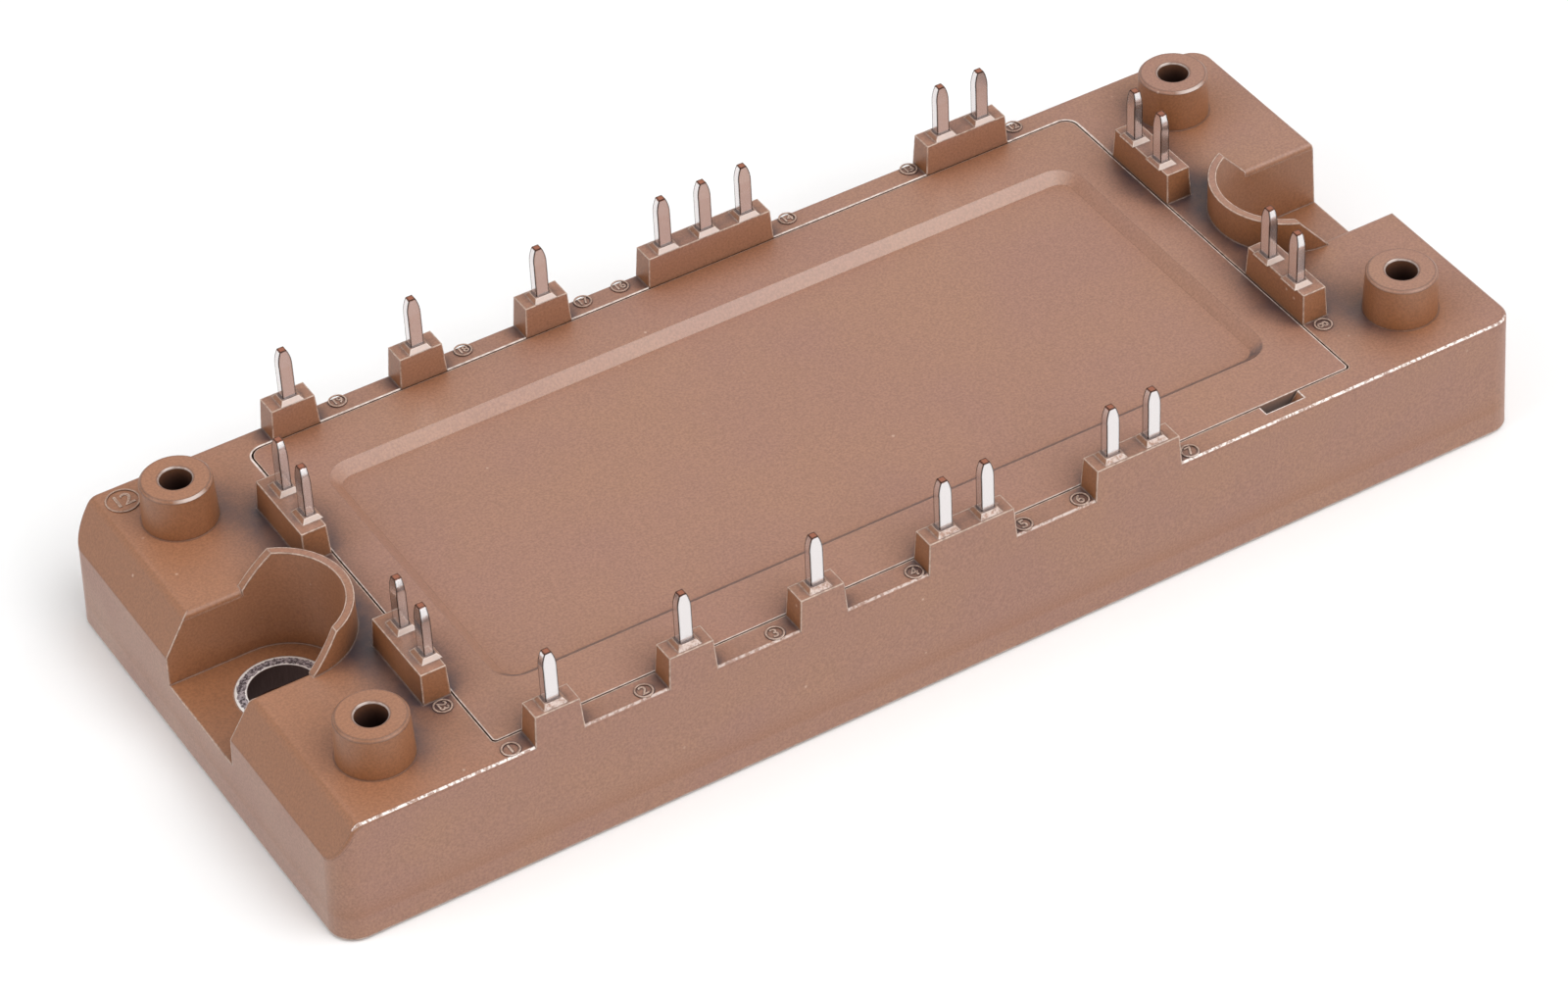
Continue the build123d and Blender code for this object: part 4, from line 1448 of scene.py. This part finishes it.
@dataclass
class Studio:
    """A plain pale floor that curves up at the back, soft lamps and the camera.

    Lengths are in metres, and angles in degrees.
    """

    softboxes: tuple[Softbox, ...] = (
        Softbox("key_softbox", (0.37, -0.62, 0.94), 1.0, 2.7),
        Softbox("front_fill", (0.1, -1.1, 0.45), 0.8, 1.1),
        Softbox("left_fill", (-1.0, 0.15, 0.6), 0.7, 2.3),
        Softbox("right_fill", (1.1, 0.1, 0.65), 0.6, 0.6),
    )
    white: str = "#FFFFFF"
    paper_colour: str = "#D6D5D4"  # what the paper is to the light that falls on it
    paper_roughness: float = 0.9
    floor_half: float = 1.6
    wall_height: float = 1.2
    curve_radius: float = 0.5
    curve_segments: int = 16
    horizon_strength: float = 0.35
    zenith_strength: float = 0.66
    camera_place: Triple = (-0.16209, -0.28298, 0.2827)
    camera_azimuth: float = 29.52
    camera_elevation: float = 40.68
    camera_roll: float = -2.92
    lens: float = 123.78  # mm
    sensor: float = 36.0  # mm
    nearest: float = 0.01  # how close a thing may be and still be seen

    def rays(self, tree: Tree, *kinds: str) -> Socket:
        """1 for rays of any of the named kinds, and 0 for all others."""
        path = add_node(tree, "ShaderNodeLightPath").outputs
        return joined(tree, Sum.MOST, *(path[f"Is {kind} Ray"] for kind in kinds))

    def paper(self) -> bpy.types.Material:
        """Matt white paper: it looks white where it is seen, and lights the object a little less.

        Returns:
            The material.
        """
        material = bpy.data.materials.new("matt_studio_paper")
        material.use_nodes = True
        tree = material.node_tree
        shader = tree.nodes["Principled BSDF"]
        shader.inputs["Roughness"].default_value = self.paper_roughness
        shader.inputs["Specular IOR Level"].default_value = 0.0
        colour = layered(tree, self.paper_colour, (self.rays(tree, "Camera"), self.white))
        tree.links.new(colour, shader.inputs["Base Color"])
        plain = add_node(tree, "ShaderNodeEmission", {"Strength": 1.0}).outputs["Emission"]
        mirrored = self.rays(tree, "Glossy", "Transmission")
        sources = {0: mirrored, 1: shader.outputs["BSDF"], 2: plain}
        either = add_node(tree, "ShaderNodeMixShader", sources).outputs["Shader"]
        tree.links.new(either, tree.nodes["Material Output"].inputs["Surface"])
        return material

    def floor(self) -> bpy.types.Object:
        """The floor with its curved back.

        Returns:
            The floor.
        """
        bpy.ops.object.select_all(action="DESELECT")
        bpy.ops.mesh.primitive_plane_add(size=2 * self.floor_half, location=(0, 0, 0))
        piece = bpy.context.active_object
        piece.name = "studio_floor"
        with editing(piece) as mesh:
            bpy.ops.mesh.select_mode(type="EDGE")
            for edge in mesh.edges:
                edge.select = all(vertex.co.y > 0 for vertex in edge.verts)
            bmesh.update_edit_mesh(piece.data)
            bpy.ops.mesh.extrude_edges_move(TRANSFORM_OT_translate={"value": (0, 0, self.wall_height)})
        settle(piece)
        curve = {"width": self.curve_radius, "segments": self.curve_segments}
        apply_modifier(piece, "BEVEL", limit_method="ANGLE", **curve)
        for polygon in piece.data.polygons:
            polygon.use_smooth = True
        piece.data.materials.append(self.paper())
        return piece

    def world(self) -> None:
        """Pale light from all round, brighter overhead, and white where it is seen."""
        world = bpy.data.worlds.new("pale_studio")
        bpy.context.scene.world = world
        world.use_nodes = True
        tree = world.node_tree
        background = tree.nodes["Background"]
        around = add_node(tree, "ShaderNodeTexCoord").outputs["Generated"]
        height = add_node(tree, "ShaderNodeSeparateXYZ", {0: around}).outputs["Z"]
        sources = {"Value": height, "To Min": self.horizon_strength, "To Max": self.zenith_strength}
        cast = add_node(tree, "ShaderNodeMapRange", sources).outputs["Result"]
        seen = self.rays(tree, "Camera", "Glossy", "Transmission")
        sources = {"Value": seen, "To Min": cast, "To Max": 1.0}
        strength = add_node(tree, "ShaderNodeMapRange", sources).outputs["Result"]
        background.inputs["Color"].default_value = linear(self.white)
        tree.links.new(strength, background.inputs["Strength"])

    def camera(self) -> bpy.types.Object:
        """The camera at the photograph's place, angle and focal length.

        Returns:
            The camera.
        """
        data = bpy.data.cameras.new("product_camera")
        data.lens = self.lens
        data.sensor_width = self.sensor
        data.clip_start = self.nearest
        camera = bpy.data.objects.new("product_camera", data)
        bpy.context.scene.collection.objects.link(camera)
        turn = Matrix.Rotation(math.radians(-self.camera_azimuth), 4, "Z")
        tilt = Matrix.Rotation(math.radians(90 - self.camera_elevation), 4, "X")
        roll = Matrix.Rotation(math.radians(self.camera_roll), 4, "Z")
        camera.matrix_world = Matrix.Translation(self.camera_place) @ turn @ tilt @ roll
        bpy.context.scene.camera = camera
        return camera

    def build(self) -> None:
        """Sets up the whole studio."""
        bpy.context.scene.view_settings.view_transform = "Standard"
        self.camera()
        self.floor()
        self.world()
        for softbox in self.softboxes:
            softbox.build()


def finish_of(node: str) -> str:
    """The name of a node's finish; all terminals share one."""
    return "terminal" if node.startswith("terminal_") else SHARED_FINISHES.get(node, node)


def dress(node: str, material: bpy.types.Material) -> None:
    """Gives a carried-over piece its material.

    Args:
        node: The piece's name.
        material: The material for the whole piece.
    """
    slots = frame["nodes"][node].data.materials
    slots.clear()
    slots.append(material)


def main() -> None:
    """Builds the studio, dresses every piece and adds what is moulded on the deck."""
    logging.basicConfig(level=logging.INFO, format="%(message)s")
    Studio().build()
    materials = {name: finish.material() for name, finish in FINISHES.items()}
    for node in sorted(frame["nodes"]):
        material = materials[finish_of(node)]
        dress(node, material)
        LOG.info("%s: %s", node, material.name)
    for piece in MouldedNumbers(materials["housing"]).build():
        LOG.info("%s: %d faces", piece.name, len(piece.data.polygons))


if __name__ == "__main__":
    main()
